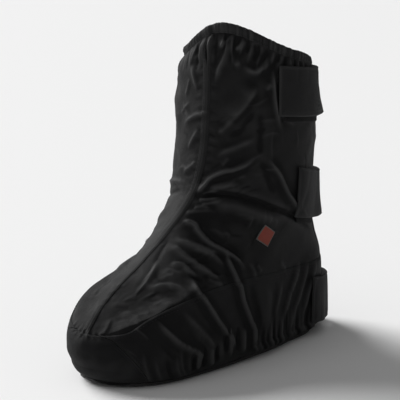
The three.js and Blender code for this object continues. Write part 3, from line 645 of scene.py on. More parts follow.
def half_shell(name, side, rows, cols):
    """One half of the shell, from the front seam to the slit, with few rows where the bands cover it."""
    below, above = np.linspace(-1.9, band_seam - 0.05, 33), np.linspace(band_seam - 0.05, 1, rows - 32)
    levels = np.concatenate([below, above[1:]])
    last = 1 - slit_half / girth_at(levels, side)
    edges = (np.zeros(len(levels)), last) if side > 0 else (-last, np.zeros(len(levels)))
    v, s = grid(levels, *edges, cols)
    bumps = relief(v, s)
    beside_seam = 0.12 * np.exp(-(((np.abs(s) * girth_at(v, s) - 5.6) / 1.8) ** 2))
    covered = 1.3 * smooth(-v, 0.032 - band_seam, 0.06 - band_seam)
    outer = on_form(v, s, bumps - beside_seam - covered)
    depth = shell_thickness + 0.4 + covered[::sparse, ::sparse]
    inner = on_form(v[::sparse, ::sparse], s[::sparse, ::sparse], lowest_near(bumps) - depth)
    tones = {"crest": painted_shading_and_rub_at(v, s), "rim": np.zeros_like(bumps)}
    return cloth(name, outer, inner, cloth_uv(v, s), tones)


shell_outer = half_shell("shell_outer_half", 1, 301, 281)
shell_inner = half_shell("shell_inner_half", -1, 233, 221)


class Socket:
    """One value in a node tree, with the operators that the materials use."""

    def __init__(self, tree, source):
        self.tree, self.source = tree, source

    def node(self, kind, settings=None, inputs=None, output=0):
        made = self.tree.nodes.new(kind)
        for key, value in (settings or {}).items():
            setattr(made, key, value)
        for key, value in (inputs or {}).items():
            if isinstance(value, Socket):
                self.tree.links.new(value.source, made.inputs[key])
            else:
                made.inputs[key].default_value = value
        return Socket(self.tree, made.outputs[output])

    def math(self, operation, *others):
        return self.node("ShaderNodeMath", {"operation": operation}, dict(enumerate([self, *others])))

    def __add__(self, other):
        return self.math("ADD", other)

    def __sub__(self, other):
        return self.math("SUBTRACT", other)

    def __rsub__(self, other):
        return self.math("MULTIPLY_ADD", -1.0, other)

    def __mul__(self, other):
        return self.math("MULTIPLY", other)

    __radd__, __rmul__ = __add__, __mul__

    def step(self, low, high):
        """0 up to low, 1 from high on, and smooth between them."""
        return self.node(
            "ShaderNodeMapRange",
            {"interpolation_type": "SMOOTHSTEP"},
            {"Value": self, "From Min": low, "From Max": high},
        )

    def tint(self, first, second):
        """The colour between two, by this value."""
        return self.node("ShaderNodeMix", {"data_type": "RGBA"}, {0: self, 6: first, 7: second}, output=2)

    def noise(self, size, detail=2.0):
        """A cloudy pattern whose spots are about `size` metres across."""
        return self.node("ShaderNodeTexNoise", {}, {"Vector": self, "Scale": 1 / size, "Detail": detail})

    def part(self, k):
        return self.node("ShaderNodeSeparateXYZ", {}, {"Vector": self}, output=k)

    def wave(self, pitch):
        return (self * (2 * math.pi / pitch)).math("SINE")

    def bump(self, distance, under=None):
        """A normal from this height, in metres, on top of another bump."""
        inputs = {"Height": self, "Distance": distance, "Strength": 1.0}
        if under is not None:
            inputs["Normal"] = under
        return self.node("ShaderNodeBump", {}, inputs)


def finish(name, **constants):
    """A new material, with constants on the shader's own sockets, and what its patterns read."""
    made = bpy.data.materials.new(name)
    made.use_nodes = True
    tree = made.node_tree
    shader = tree.nodes["Principled BSDF"]
    for key, value in constants.items():
        shader.inputs[key.replace("_", " ")].default_value = value
    place = Socket(tree, tree.nodes.new("ShaderNodeTexCoord").outputs["Object"])
    unrolled = Socket(tree, tree.nodes.new("ShaderNodeUVMap").outputs["UV"])

    def connect(**links):
        for key, value in links.items():
            tree.links.new(value.source, shader.inputs[key.replace("_", " ")])

    return made, place, unrolled, connect


def tone(place, name):
    """One of the values that a piece has over its surface."""
    return place.node("ShaderNodeAttribute", {"attribute_name": name}, output=2)


def cloth_finish(name, dark, pale, pitch, rough, weave_height, sheen, crinkle):
    """Woven cloth: painted shade in folds, painted highlight and rubbing on crests, rubbed rims, dust, fine
    creases.
    """
    made, place, unrolled, connect = finish(
        name, Sheen_Weight=sheen, Sheen_Roughness=0.5, Specular_IOR_Level=0.08
    )
    crest, rim = tone(place, "crest"), tone(place, "rim")
    cloudy = place.noise(0.05, 4.0)
    specks = place.noise(0.0022, 3.0)
    # Painted shade and highlight come in with the crest value, partly rubbing too; the rims add rubbing.
    shading_and_rubbing = crest * 0.6 + rim * 0.4 + 0.2
    dust = specks.step(0.66, 0.78) * cloudy.step(0.45, 0.7) * 0.2
    paleness = (shading_and_rubbing * (0.5 + cloudy) + dust).math("MAXIMUM", 0.0).math("MINIMUM", 1.2)
    u, v = unrolled.part(0), unrolled.part(1)
    threads = u.wave(pitch) * v.wave(pitch) * 0.5 + 0.5
    fine = place.noise(0.006, 6.0) + place.noise(0.018, 4.0) * 1.5
    connect(
        Base_Color=paleness.tint((*dark, 1), (*pale, 1)),
        Roughness=rough + (place.noise(0.012, 3.0) - 0.5) * 0.18,
        Normal=threads.bump(weave_height, fine.bump(crinkle)),
    )
    return made


shell_finish = cloth_finish(
    "shell_cloth", (0.006, 0.006, 0.0062), (0.04, 0.04, 0.0405), 0.0009, 0.7, 0.00007, 0.01, 0.0004
)


def fit(piece, material, slot, *nodes):
    """Gives a piece its finish if it has none, hangs it on the root, and hides the parts it stands for."""
    if not piece.data.materials:
        piece.data.materials.append(material)
    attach(piece, "root")
    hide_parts(*nodes)


for piece in (shell_outer, shell_inner):
    fit(piece, shell_finish, "shell_cloth", "upper")

# Lining. Dark brushed fabric behind the wadding, from the hem down to the turned edge under the insole. It
# follows the folds of the shell, and stops at the slit.
levels = np.linspace(-1.9, 1, 161)
v, s = grid(levels, 1 - slit_half / girth_at(levels, 1), slit_half / girth_at(levels, -1) - 1, 261)
bumps = relief(v, s)
sunk = np.minimum(bumps, 0.6)
visible = on_form(v, s, sunk - wall)
hidden = on_form(v[::sparse, ::sparse], s[::sparse, ::sparse], lowest_near(sunk) - wall + 0.5)
# The lining takes the shell's painted shading turned over: painted shade behind the shell's ridges, painted
# highlight behind its troughs.
lining = cloth("lining", visible, hidden, cloth_uv(v, s), {"crest": -painted_shading_and_rub_at(v, s), "rim": 0 * bumps})
lining_finish = cloth_finish(
    "lining_cloth", (0.005, 0.005, 0.0052), (0.013, 0.013, 0.0135), 0.0022, 0.9, 0.00012, 0.03, 0.0004
)
fit(lining, lining_finish, "shell_cloth", "upper")

# Toe cap and side bands. Heavier cloth, doubled at its edges and stitched twice along them. They are turned
# under the foot, and a leaning seam on each side parts the cap from the bands, which end at the back flap.
panel_thickness, seam_allowance = 1.0, 0.4
flap_width = 62
stitch_rows = (2.2, 5.0)  # distance from the edge
cap_lean, cap_reach, cap_corner = 36, 49, 34
cap_notch, cap_notch_front, cap_notch_side = 7, 12, 22
half_gap = seam_allowance / 2
stitch_lift = clearance + panel_thickness - 0.25  # the thread lies a little sunk
stitch_lines = []


def cap_share(level, side, gap):
    """Share at which the leaning seam crosses a level, a gap in mm behind it."""
    t = np.linspace(0, 0.75, 400)
    p = look_up(net, np.full(400, level), side * t)
    past = p[:, 1] + p[:, 2] * math.tan(math.radians(cap_lean)) + foot_length - cap_reach - gap
    k = int(np.argmax(past > 0)) if (past > 0).any() else 399
    if k == 0:
        return 0.0
    return side * mix(t[k - 1], t[k], -past[k - 1] / (past[k] - past[k - 1]))


cap_levels = np.linspace(-2, 0.5, 120)
cap_edges = {
    (side, gap): np.array([cap_share(level, side, gap) for level in cap_levels])
    for side in (1, -1)
    for gap in (-half_gap, half_gap)
}


def cap_edge(levels, side, gap):
    return np.interp(levels, cap_levels, cap_edges[(side, gap)])


def top_level(shares):
    """Where a panel ends at the top: the bands' seam, which dips at the cap's corner."""
    past = np.abs(shares) * girth_at(band_seam, shares) - cap_corner
    dip = cap_notch * np.exp(-((past / np.where(past < 0, cap_notch_front, cap_notch_side)) ** 2))
    return band_seam - (dip + seam_allowance) / row_height


def foot_panel(name, first, last, rows, cols):
    """A panel between two edges, each a function from level to share, up to the bands' seam."""
    t, u = np.linspace(0, 1, rows)[:, None], np.linspace(0, 1, cols)[None]
    t = mix(t, t**0.8, 0.5)
    ends = np.full(1, band_seam)
    top = top_level(mix(first(ends), last(ends), u[0]))[None]
    v = mix(-2, top, t)
    s = mix(first(v), last(v), u)
    doubled = [(row, depth, 0.8) for row, depth in zip(stitch_rows, (0.3, 0.25))]
    for row in stitch_rows:
        stitch_lines.append((v[-1] - row / row_height, s[-1], stitch_lift))
    return panel(name, v, s, clearance, panel_thickness, edge=1.5, groove=doubled, rubbed=0.9)


def flap_edge(levels, side):
    return side * (1 - (flap_width / 2 + seam_allowance) / girth_at(levels, side))


toe_cap = foot_panel(
    "toe_cap_panel", lambda v: cap_edge(v, -1, -half_gap), lambda v: cap_edge(v, 1, -half_gap), 145, 169
)
band_outer = foot_panel(
    "band_outer_panel", lambda v: cap_edge(v, 1, half_gap), lambda v: flap_edge(v, 1), 125, 257
)
band_inner = foot_panel(
    "band_inner_panel", lambda v: flap_edge(v, -1), lambda v: cap_edge(v, -1, half_gap), 113, 233
)
panel_finish = cloth_finish(
    "tough_cloth", (0.0075, 0.0075, 0.0078), (0.042, 0.042, 0.0425), 0.0013, 0.74, 0.00012, 0.01, 0.0004
)
for piece, node in ((toe_cap, "toe_cap"), (band_outer, "band_outer_side"), (band_inner, "band_inner_side")):
    fit(piece, panel_finish, "tough_cloth", node)
for side in (1, -1):
    for gap in (2.4, 5.2):
        levels = np.linspace(-0.7, 0.19, 60)
        shares = cap_edge(levels, side, half_gap)
        shares = shares + side * gap / girth_at(levels, shares)
        stitch_lines.append((levels, shares, stitch_lift))

# Front seam. The two halves of the shell are folded into each other and stitched down twice, which leaves a
# flat ridge from the toe cap to the hem, slightly puckered by the thread.
seam_width, seam_thickness = 8, 0.5
levels = np.linspace(band_seam - 0.002, 0.994, 465)
outer_share = seam_width / 2 / girth_at(levels, 1)
inner_share = -seam_width / 2 / girth_at(levels, -1)
v, s = grid(levels, inner_share, outer_share, 25)
sewn_down = ((1.3, 0.2, 0.5), (4.0, 0.2, 0.6))
front_seam = panel("felled_seam", v, s, 0.05, seam_thickness, edge=1.6, groove=sewn_down, rubbed=0.4)
fit(front_seam, shell_finish, "shell_cloth", "front_seam")
for share in (inner_share * 0.72, outer_share * 0.72):
    stitch_lines.append((levels, share, 0.38))

# Back flap. A double strip of the shell's cloth behind the slit's edges, under the straps, stitched along
# both sides.
flap_thickness = 1.8
flap_stitches = 3.5  # distance from its edges
flap_rows, half_cols = 241, 41
levels = np.linspace(-0.01, 0.992, flap_rows)
first = 1 - flap_width / 2 / girth_at(levels, 1)
second = 1 - flap_width / 2 / girth_at(levels, -1)
v, s_outer = grid(levels, first, np.ones(flap_rows), half_cols)
s_inner = grid(levels, -np.ones(flap_rows), -second, half_cols)[1]
v = np.concatenate([v, v[:, 1:]], 1)


def across_back(function):
    """Values over the flap, which crosses the form's back line."""
    return np.concatenate([function(v[:, :half_cols], s_outer), function(v[:, half_cols:], s_inner[:, 1:])], 1)


bumps = across_back(relief)
base = across_back(lambda levels, shares: look_up(net, levels, shares))
out = across_back(lambda levels, shares: look_up(net_out, levels, shares))
rim = border_distance(base)
height = clearance + flap_thickness * (0.45 + 0.55 * round_end(rim / 1.2))
height -= 0.3 * np.exp(-(((rim - flap_stitches) / 0.8) ** 2))
outer = base + out * (height + bumps)[..., None]
inner = (base + out * clearance)[::sparse, ::sparse] + out[::sparse, ::sparse] * lowest_near(bumps)[..., None]
across = np.linspace(-flap_width / 2, flap_width / 2, 2 * half_cols - 1)
uv = np.stack(np.broadcast_arrays(across[None], levels[:, None] * row_height), -1) / 1000
flap = cloth("slit_flap", outer, inner, uv, {"crest": across_back(painted_shading_and_rub_at), "rim": np.exp(-rim / 1.6)})
fit(flap, shell_finish, "shell_cloth", "back_flap")
for shares in (first + flap_stitches / girth_at(levels, 1), -second - flap_stitches / girth_at(levels, -1)):
    stitch_lines.append((levels, shares, clearance + flap_thickness - 0.15))

# Collar hem. A casing of thin cloth with an elastic in it, sewn to the collar, so that it stands in small
# gathers. It is open at the slit.
hem_thickness = 5
hem_lap = 2.5  # how far the casing reaches down over the shell's edge
hem_rows, hem_cols = 1401, 24
ends = 1 - slit_half / net_girth[-1]
half_rows = hem_rows // 2 + 1
shares = np.concatenate([np.linspace(-ends[1], 0, half_rows)[:-1], np.linspace(0, ends[0], half_rows)])
top = np.ones(hem_rows)
foot = on_form(top, shares, np.full(hem_rows, -wall / 2))
out = look_up(net_out, top, shares)
faces_up = [on_form(top, shares, np.full(hem_rows, depth))[:, 2] for depth in (0.0, -wall)]
foot[:, 2] = np.maximum(*faces_up) + clearance
out[:, 2] = 0
out /= np.linalg.norm(out, axis=1, keepdims=True)
foot += out * (relief(top, shares) * 0.75)[:, None]
foot[:, 2] -= hem_lap
run = run_of(foot)
ruffle, lean_of = np.zeros(hem_rows), np.zeros(hem_rows)
place = 0.0
while place < run[-1]:
    wide = chance.uniform(1.0, 2.2)
    bell = np.exp(-(((run - place) / wide) ** 2))
    ruffle += bell * chance.uniform(0.4, 1.6)
    lean_of += bell * chance.uniform(-1, 1)
    place += wide * chance.uniform(1.5, 2.3)
ruffle -= 0.75
turn = np.arange(hem_cols) / hem_cols * 2 * math.pi
across, up = np.cos(turn), np.sin(turn)
across = np.sign(across) * np.abs(across) ** 0.75
up = (np.sign(up) * np.abs(up) ** 0.85 + 1) / 2
seam_groove = np.exp(-(((up - 0.3) / 0.1) ** 2))
thick = hem_thickness / 2 * (0.82 + 0.42 * ruffle[:, None] * smooth(up, 0.0, 0.5)) * (1 - 0.3 * seam_groove)
tall = hem_lap + hem_height * (0.95 + 0.05 * ruffle[:, None])
section = foot[:, None] + out[:, None] * (across * thick)[..., None]
section[..., 2] += up * tall
along = np.gradient(foot, axis=0)
along /= np.linalg.norm(along, axis=1, keepdims=True)
section += along[:, None] * (0.5 * lean_of[:, None] * up)[..., None]
index = np.arange(hem_rows * hem_cols).reshape(hem_rows, hem_cols)
ring = np.roll(index, -1, axis=1)
faces = np.stack([index[:-1], index[1:], ring[1:], ring[:-1]], -1).reshape(-1, 4).tolist()
smooth_faces = np.ones(len(faces) + 2, bool)
smooth_faces[-2:] = False
faces += [index[0].tolist(), index[-1, ::-1].tolist()]
uv = np.stack(np.broadcast_arrays(run[:, None], turn[None] * 4), -1).reshape(-1, 2) / 1000
# The gathers' bulges are painted paler and the pockets between them darker: painted highlight and painted
# shade.
crest = np.broadcast_to(ruffle[:, None] * 0.6, (hem_rows, hem_cols)).ravel()
tones = {"crest": crest, "rim": crest * 0}
hem = new_piece("gathered_hem", section.reshape(-1, 3), faces, smooth_faces, uv, tones)
hem_finish = cloth_finish(
    "hem_cloth", (0.009, 0.009, 0.0093), (0.055, 0.055, 0.0555), 0.0008, 0.7, 0.00006, 0.01, 0.0003
)
fit(hem, hem_finish, "hem_cloth", "collar_hem")
hem_stitches = foot + out * (hem_thickness / 2 * 0.72)
hem_stitches[:, 2] += 0.3 * hem_height

# Straps. Three woven hook-and-loop tapes, 50 mm wide, sewn to the inner side and drawn round the back. Their
# free ends lie on loop patches on the outer side, and they stand off a little between.
strap_width, strap_thickness, strap_length = 50, 2.2, 236
strap_foot, strap_sewn = 6, 28
loop_thickness, loop_margin = 1.2, 6
on_upper, on_panel = clearance, 2 * clearance + panel_thickness
# Each strap: height of its middle, how much it climbs to the front, how its free end leans, the shares of its
# length on the outer and on the inner side and on the loops, how far it stands off, and what it lies over
straps = [
    dict(name="top", up=0.922, climb=0.13, lean=-0.02, free=0.6, sewn=0.36, grip=0.3, slack=12.5, flare=0.95,
         over=on_upper),
    dict(name="middle", up=0.525, climb=0.18, lean=0.16, free=0.43, sewn=0.36, grip=0.2, slack=13.5,
         flare=-0.1, over=on_upper),
    dict(name="heel", up=0.115, climb=0.2, lean=0, free=0.33, sewn=0.34, grip=0.15, slack=15, flare=0.15,
         over=on_panel),
]
hang_level, shoulder_level = 0.08, 0.94  # levels between which a strap's points are sought
seam_half, flap_half = seam_width / 2, flap_width / 2
tape_rows, tape_cols = 49, 225


def from_back(distance, middle, levels):
    """Shares of points whose place is a distance from the back line, measured round the level `middle`."""
    side = np.where(distance >= 0, 1.0, -1.0)
    away = np.abs(distance)
    whole, here = girth_at(middle, side), girth_at(levels, side)
    k = (whole - away - seam_half) / (whole - seam_half - flap_half)
    far = (seam_half + k * (here - seam_half - flap_half)) / here
    return side * np.where(away < flap_half, 1 - away / here, far)


def upright(height, distance, middle, offset):
    """Points at a height and a distance from the back line that stand off the form, straight outward."""
    low, high = np.full_like(height, hang_level), np.full_like(height, shoulder_level)
    for _ in range(22):
        half_way = (low + high) / 2
        below = look_up(net, half_way, from_back(distance, middle, half_way))[..., 2] < height
        low, high = np.where(below, half_way, low), np.where(below, high, half_way)
    shares = from_back(distance, middle, low)
    point, out = look_up(net, low, shares), look_up(net_out, low, shares)
    out[..., 2] = 0
    out /= np.linalg.norm(out, axis=-1, keepdims=True)
    broad = look_up(net_sag, low, shares)
    point = point + out * (offset + broad + 0.45 * (relief(low, shares) - broad))[..., None]
    point[..., 2] = height
    return point, out


def tape(name, low, high, front, end, climb, lean, lift, thickness, rows, cols, ripple=0.0):
    """A tape between two distances from the back line, positive on the outer side."""
    middle = level_at((low + high) / 2)
    across, along = np.linspace(0, 1, rows)[:, None], np.linspace(0, 1, cols)[None]

    def laid_at(distance):
        low_level = np.full_like(distance, level_at(low))
        foot = look_up(net, low_level, from_back(distance, middle, low_level))
        height = mix(low, high, across) - climb * foot[..., 1]
        share = (front - distance) / (front - end)
        return (*upright(height, distance, middle, lift(share, across)), share)

    cuts = []
    for cut, inward, tilt in ((front, -1, lean), (end, 1, 0)):
        shares = from_back(np.array([cut, cut + inward]), middle, np.full(2, middle))
        at, beside = look_up(net, np.full(2, middle), shares)
        way = (beside - at)[:2] / np.linalg.norm((beside - at)[:2])
        distance = np.full((rows, 1), float(cut))
        for _ in range(6):
            past = laid_at(distance)[0] - at
            distance = distance - inward * (past[..., :2] @ way + tilt * past[..., 2])
        cuts.append(distance)
    distance = mix(*cuts, along)
    point, out, share = laid_at(distance)
    base = from_back(distance, middle, np.full_like(distance, level_at(low)))
    rim = border_distance(point)
    face = thickness * (0.5 + 0.5 * round_end(rim / 0.8))
    face = face + ripple * np.sin(share * 21 + across * 2.2) * smooth(rim, 0, 8)
    face = face - 0.4 * np.exp(-(((rim - 3.0) / 0.7) ** 2))
    outer = point + out * face[..., None]
    uv = np.stack(np.broadcast_arrays(share * (front - end), across * (high - low)), -1) / 1000
    # The tape takes a third of the painted shading of the shell under it.
    tones = {"crest": 0.3 * painted_shading_and_rub_at(np.full_like(distance, middle), base), "rim": 1.7 * np.exp(-rim / 1.9)}
    tones = {k: np.ascontiguousarray(np.broadcast_to(t, rim.shape)[:, ::-1]) for k, t in tones.items()}
    back = point[::sparse, ::sparse]
    return cloth(name, outer[:, ::-1], back[:, ::-1], uv[:, ::-1], tones), outer


tape_finish = cloth_finish(
    "strap_tape", (0.0085, 0.0085, 0.0088), (0.036, 0.036, 0.0365), 0.0011, 0.74, 0.00014, 0.01, 0.0003
)
pile_finish = cloth_finish(
    "loop_pile", (0.0045, 0.0045, 0.0047), (0.013, 0.013, 0.0135), 0.0016, 0.95, 0.0003, 0.03, 0.0006
)
tape_stitches = []
for strap in straps:
    name, over, grip = strap["name"], strap["over"], strap["grip"]
    middle = strap["up"] * shell_back
    length = strap["free"] + strap["sewn"]
    leave, land = grip / length, 1 - strap_sewn / (length * strap_length)
    on_loop = over + loop_thickness + 3 * clearance

    def lift(share, across):
        away = smooth(share, leave, mix(leave, land, 0.4)) - smooth(share, mix(leave, land, 0.6), land)
        base = mix(on_loop, over + clearance, smooth(share, mix(leave, land, 0.8), land))
        return base + strap["slack"] * away * (1 - strap["flare"] * across)

    low, high = max(middle - strap_width / 2, strap_foot), middle + strap_width / 2
    front, end = strap["free"] * strap_length, -strap["sewn"] * strap_length
    laid = low, high, front, end, strap["climb"], strap["lean"]
    piece, face = tape(name + "_tape", *laid, lift, strap_thickness, tape_rows, tape_cols, ripple=0.35)
    fit(piece, tape_finish, "strap_tape", "strap_" + name)
    # a row at the free end, and a stitched box on the sewn one
    tape_stitches += [face[3:-3, 4], face[3:-3, -5], face[3, -26:-5], face[-4, -26:-5], face[3:-3, -27]]
    if name == "top":
        hook_end = int((tape_cols - 1) * (grip / length) * 0.75)
        tape_stitches += [face[3:-3, hook_end + 12], face[3:-3, hook_end + 17]]

    middle -= loop_margin
    low, high = max(middle - strap_width / 2, strap_foot), middle + strap_width / 2
    front = strap["free"] * strap_length - loop_margin
    end = max((strap["free"] - grip) * strap_length, flap_half + loop_margin)
    laid = low, high, front, end, strap["climb"], strap["lean"]
    piece = tape(name + "_pile", *laid, lambda share, across: over + clearance + 0 * share * across,
                 loop_thickness, 33, 65)[0]
    fit(piece, pile_finish, "loop_pile", "loop_patch_" + name)

# Label. A small woven square of red cloth with a narrow grey border, set on its corner on the outer ankle and
# sewn to the shell. It is bare.
label_side, label_thickness, label_tilt = 17, 0.8, 36
label_across, label_up = 127, 127
places = np.linspace(-0.5, 0.5, 49) * label_side
a, b = np.meshgrid(places, places)
cosine, sine = math.cos(math.radians(label_tilt)), math.sin(math.radians(label_tilt))
goal = np.stack([a * cosine + b * sine - label_across, b * cosine - a * sine + label_up])
v, s = np.full_like(a, 0.42), np.full_like(a, 0.5)
for _ in range(12):
    here = np.moveaxis(look_up(net, v, s), -1, 0)[1:]
    by_v = (np.moveaxis(look_up(net, v + 0.01, s), -1, 0)[1:] - here) / 0.01
    by_s = (np.moveaxis(look_up(net, v, s + 0.01), -1, 0)[1:] - here) / 0.01
    miss = goal - here
    area = by_v[0] * by_s[1] - by_v[1] * by_s[0]
    v = np.clip(v + 0.8 * (miss[0] * by_s[1] - miss[1] * by_s[0]) / area, 0.1, 0.9)
    s = np.clip(s + 0.8 * (miss[1] * by_v[0] - miss[0] * by_v[1]) / area, 0.1, 0.9)
label = panel("bare_label", v, s, clearance, label_thickness, edge=0.5, uv=np.stack([a, b], -1) / 1000)
label_finish, place, unrolled, connect = finish("label_cloth", Sheen_Weight=0.1, Specular_IOR_Level=0.4)
u, w = unrolled.part(0), unrolled.part(1)
from_edge = label_side / 2000 - u.math("ABSOLUTE").math("MAXIMUM", w.math("ABSOLUTE"))
border = 1 - from_edge.step(0.0008, 0.0011)
threads = u.wave(0.0007) * w.wave(0.0007) * 0.5 + 0.5
dirt = place.noise(0.006, 4.0)
red = (dirt * 0.8 + threads * 0.2).tint((0.12, 0.015, 0.007, 1), (0.23, 0.033, 0.016, 1))
connect(
    Base_Color=border.tint(red, (0.075, 0.075, 0.07, 1)),
    Roughness=0.62 + dirt * 0.2,
    Normal=threads.bump(0.0001, dirt.bump(0.0004)),
)
fit(label, label_finish, "label_cloth", "label")

# Outsole. A thin rubber sheet under the turned edge, with plain cross ribs under heel and ball and a fine
# crosswise tread between them.
sole_thickness, rib_depth, rib_width, rib_pitch = 2.6, 1.2, 7, 12
sole_inset, rib_inset = 7, 6
rib_start = 0.05
foot_row = section_at(0)


def foot_net(inset, lengths, cols):
    """Points of a flat sheet with the foot's outline drawn in by an inset, in rows from heel to toe."""
    outer = half_outline(foot_row, 1, inset, 0)[::-1]
    inner = half_outline(foot_row, -1, inset, 0)[::-1]
    rows = []
    for share in lengths:
        y = mix(outer[0, 1], outer[-1, 1], share)
        x_outer = np.interp(-y, -outer[:, 1], outer[:, 0])
        x_inner = np.interp(-y, -inner[:, 1], inner[:, 0])
        x = mix(x_inner, x_outer, np.linspace(0, 1, cols))
        rows.append(np.stack([x, np.full(cols, y), underside(-np.full(cols, y))], 1))
    return np.array(rows)


lengths = (1 - np.cos(np.pi * np.linspace(0.012, 0.988, 25))) / 2
lengths = np.concatenate([lengths[:4], np.linspace(lengths[4], lengths[-5], 377), lengths[-4:]])
sheet = foot_net(sole_inset, lengths, 45)
ribs = np.zeros(sheet.shape[:2])
for start, finish_at in ((rib_start, arch_start), (arch_end, spring_start)):
    count = int(((finish_at - start) * foot_length - rib_width) // rib_pitch) + 1
    for k in range(count):
        centre = start * foot_length + rib_width / 2 + k * rib_pitch
        away = np.abs(-sheet[..., 1] - centre)
        ribs = np.maximum(ribs, 1 - smooth(away, rib_width / 2 - 0.6, rib_width / 2 + 0.2))
from_side = np.minimum(
    np.linalg.norm(sheet - sheet[:, :1], axis=2), np.linalg.norm(sheet - sheet[:, -1:], axis=2)
)
ribs *= smooth(from_side, rib_inset - 0.5, rib_inset + 0.8)
lower = sheet.copy()
lower[..., 2] += rib_depth * (1 - ribs) + 0.2 * (1 - smooth(from_side, 0, 0.8)) * (1 - ribs)
lower[..., 2] = np.where(ribs > 0.98, 0.0, lower[..., 2])
upper = sheet[::sparse, ::sparse].copy()
upper[..., 2] += rib_depth + sole_thickness
uv = np.stack([sheet[..., 0], sheet[..., 1]], -1) / 1000
tones = {"crest": ribs[:, ::-1].copy(), "rim": np.zeros(ribs.shape)}
outsole = cloth("ribbed_sole", lower[:, ::-1], upper[:, ::-1], uv[:, ::-1], tones)
sole_finish, place, unrolled, connect = finish("sole_sheet", Specular_IOR_Level=0.5)
tread = (unrolled.part(1).wave(0.0022) * 0.5 + 0.5).step(0.2, 0.7)
scuffs = place.noise(0.012, 6.0)
fine = place.noise(0.0012, 3.0)
paleness = tone(place, "crest") * 0.4 + scuffs.step(0.45, 0.75) * 0.5
connect(
    Base_Color=paleness.tint((0.008, 0.008, 0.0085, 1), (0.035, 0.034, 0.032, 1)),
    Roughness=0.55 + scuffs * 0.3,
    Normal=fine.bump(0.00025, tread.bump(0.0006)),
)
fit(outsole, sole_finish, "sole_sheet", "outsole")

# Insole. A loose sheet of dense grey felt, cut to the foot's outline and laid on the turned edge. It is a
# little hollowed where heel and ball have pressed.
insole_thickness = 3
lengths = (1 - np.cos(np.pi * np.linspace(0.02, 0.98, 121))) / 2
sheet = foot_net(turn_radius, lengths, 41)
forward = -sheet[..., 1] / foot_length
side = np.linspace(-1, 1, 41)[None]
pressed = np.exp(-(((forward - 0.14) / 0.09) ** 2) - (side / 0.6) ** 2) + 0.8 * np.exp(
    -(((forward - 0.68) / 0.12) ** 2) - (side / 0.7) ** 2
)
low = upper_foot + wall + 0.5
upper = sheet.copy()
upper[..., 2] += low + insole_thickness - 0.7 * pressed
lower = sheet[::sparse, ::sparse].copy()
lower[..., 2] += low
uv = np.stack([sheet[..., 0], sheet[..., 1]], -1) / 1000
rim = border_distance(sheet)
insole = cloth("felt_insole", upper, lower, uv, {"crest": 0.3 - pressed, "rim": np.exp(-rim / 1.5)})
felt_finish = cloth_finish(
    "insole_felt", (0.02, 0.02, 0.021), (0.06, 0.06, 0.062), 0.003, 0.95, 0.0001, 0.1, 0.0009
)
fit(insole, felt_finish, "insole_felt", "insole")

# Stitches. Black thread along the panels' edges, the front seam, the flap, the casing and the straps' ends.
# One tree lays a stitch at every pitch along lines that lie on the cloth.
thread_finish, place, unrolled, connect = finish("thread", Specular_IOR_Level=0.15)
twist = place.noise(0.0006, 2.0)
connect(
    Base_Color=twist.tint((0.004, 0.004, 0.0043, 1), (0.014, 0.014, 0.015, 1)),
    Roughness=0.5 + twist * 0.2,
    Normal=twist.bump(0.0001),
)
lines = [on_form(v, s, lift + relief(v, s)) for v, s, lift in stitch_lines]
lines += [*tape_stitches, hem_stitches]

tree = bpy.data.node_groups.new("stitches", "GeometryNodeTree")
tree.interface.new_socket("Lines", in_out="INPUT", socket_type="NodeSocketGeometry")
inputs = [
    ("Pitch", "NodeSocketFloat", 0.0034),
    ("Length", "NodeSocketFloat", 0.0025),
    ("Thread", "NodeSocketFloat", 0.0006),
    ("Finish", "NodeSocketMaterial", thread_finish),
]
made = [tree.interface.new_socket(name, in_out="INPUT", socket_type=kind) for name, kind, _ in inputs]
tree.interface.new_socket("Stitches", in_out="OUTPUT", socket_type="NodeSocketGeometry")
nodes = tree.nodes
given = nodes.new("NodeGroupInput")
curve = nodes.new("GeometryNodeMeshToCurve")
spots = nodes.new("GeometryNodeCurveToPoints")
spots.mode = "LENGTH"
shape = nodes.new("GeometryNodeMeshIcoSphere")
shape.inputs["Radius"].default_value = 0.5
shape.inputs["Subdivisions"].default_value = 1
size = nodes.new("ShaderNodeCombineXYZ")
turned = nodes.new("FunctionNodeAlignRotationToVector")
turned.axis = "Z"
laid = nodes.new("GeometryNodeInstanceOnPoints")
real = nodes.new("GeometryNodeRealizeInstances")
painted = nodes.new("GeometryNodeSetMaterial")
result = nodes.new("NodeGroupOutput")
for source, target in (
    (given.outputs["Lines"], curve.inputs["Mesh"]),
    (curve.outputs["Curve"], spots.inputs["Curve"]),
    (given.outputs["Pitch"], spots.inputs["Length"]),
    (spots.outputs["Points"], laid.inputs["Points"]),
    (spots.outputs["Tangent"], turned.inputs["Vector"]),
    (turned.outputs["Rotation"], laid.inputs["Rotation"]),
    (shape.outputs["Mesh"], laid.inputs["Instance"]),
    (given.outputs["Thread"], size.inputs["X"]),
    (given.outputs["Thread"], size.inputs["Y"]),
    (given.outputs["Length"], size.inputs["Z"]),
    (size.outputs["Vector"], laid.inputs["Scale"]),
    (laid.outputs["Instances"], real.inputs["Geometry"]),
    (real.outputs["Geometry"], painted.inputs["Geometry"]),
    (given.outputs["Finish"], painted.inputs["Material"]),
    (painted.outputs["Geometry"], result.inputs["Stitches"]),
):
    tree.links.new(source, target)

count, edges = 0, []
for line in lines:
    edges += [(count + k, count + k + 1) for k in range(len(line) - 1)]
    count += len(line)
guide = bpy.data.meshes.new("stitch_guides")
guide.from_pydata(((np.concatenate(lines) + origin) / 1000).tolist(), edges, [])
host = placed("stitch_guides", guide)
modifier = host.modifiers.new("stitches", "NODES")
modifier.node_group = tree
for socket, (_, _, value) in zip(made, inputs):
    modifier[socket.identifier] = value
sewn = bpy.data.meshes.new_from_object(host.evaluated_get(bpy.context.evaluated_depsgraph_get()))
sewn.name = "stitches"
host.modifiers.remove(modifier)
bpy.data.objects.remove(host)
fit(placed("stitches", sewn), thread_finish, "shell_cloth")

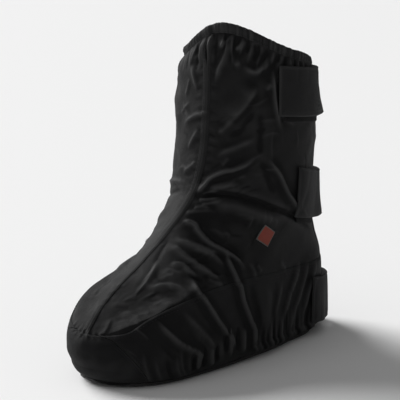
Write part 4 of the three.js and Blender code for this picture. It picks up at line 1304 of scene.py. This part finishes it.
# Floor. A plain pale ground under the shoe, large enough to fill the view at every angle.
floor_radius = 9
floor_mesh = bpy.data.meshes.new("floor")
turns = np.linspace(0, 2 * math.pi, 64, endpoint=False)
ring = [(floor_radius * math.cos(t), floor_radius * math.sin(t), 0) for t in turns]
floor_mesh.from_pydata(ring, [], [list(range(64))])
plain = finish("floor", Base_Color=(0.82, 0.82, 0.82, 1), Roughness=0.8, Specular_IOR_Level=0.2)[0]
floor_mesh.materials.append(plain)
placed("floor", floor_mesh)


# Light. One large soft light high on the shoe's inner side, a weak one from the front, and a pale room around
# them. Both lights are suns, so that they fall alike on every side of the shoe.
def direction(azimuth, elevation):
    """Where a thing stands, seen from the shoe: 0 is before the toe, and 90 on the outer side."""
    az, el = math.radians(azimuth), math.radians(elevation)
    return Vector((math.sin(az) * math.cos(el), -math.cos(az) * math.cos(el), math.sin(el)))


for name, azimuth, elevation, strength, spread in (("key", -86, 33, 4.6, 40), ("fill", 14, 44, 0.38, 70)):
    lamp = bpy.data.lights.new(name, "SUN")
    lamp.energy = strength
    lamp.angle = math.radians(spread)
    placed(name, lamp).rotation_euler = direction(azimuth, elevation).to_track_quat("Z", "Y").to_euler()
room_strength = 0.19
room = bpy.data.worlds.new("room")
room.use_nodes = True
room.node_tree.nodes["Background"].inputs["Color"].default_value = (1, 1, 1, 1)
room.node_tree.nodes["Background"].inputs["Strength"].default_value = room_strength
bpy.context.scene.world = room
bpy.context.scene.view_settings.view_transform = "Standard"

# Camera. It stands at the photograph's angle to the shoe, before the toe's outer side and a little above it.
# The small shift puts the shoe in the middle of the frame.
view_azimuth, view_elevation, view_distance = 42.812, 13, 1.8
aim_height = 0.150
back = direction(view_azimuth, view_elevation)
lens = bpy.data.cameras.new("camera")
lens.sensor_width = 36
lens.lens = 160.38
lens.shift_x, lens.shift_y = -0.02125, 0.0245
camera = placed("camera", lens)
camera.location = Vector((0, 0, aim_height)) + back * view_distance
camera.rotation_euler = back.to_track_quat("Z", "Y").to_euler()
bpy.context.scene.camera = camera
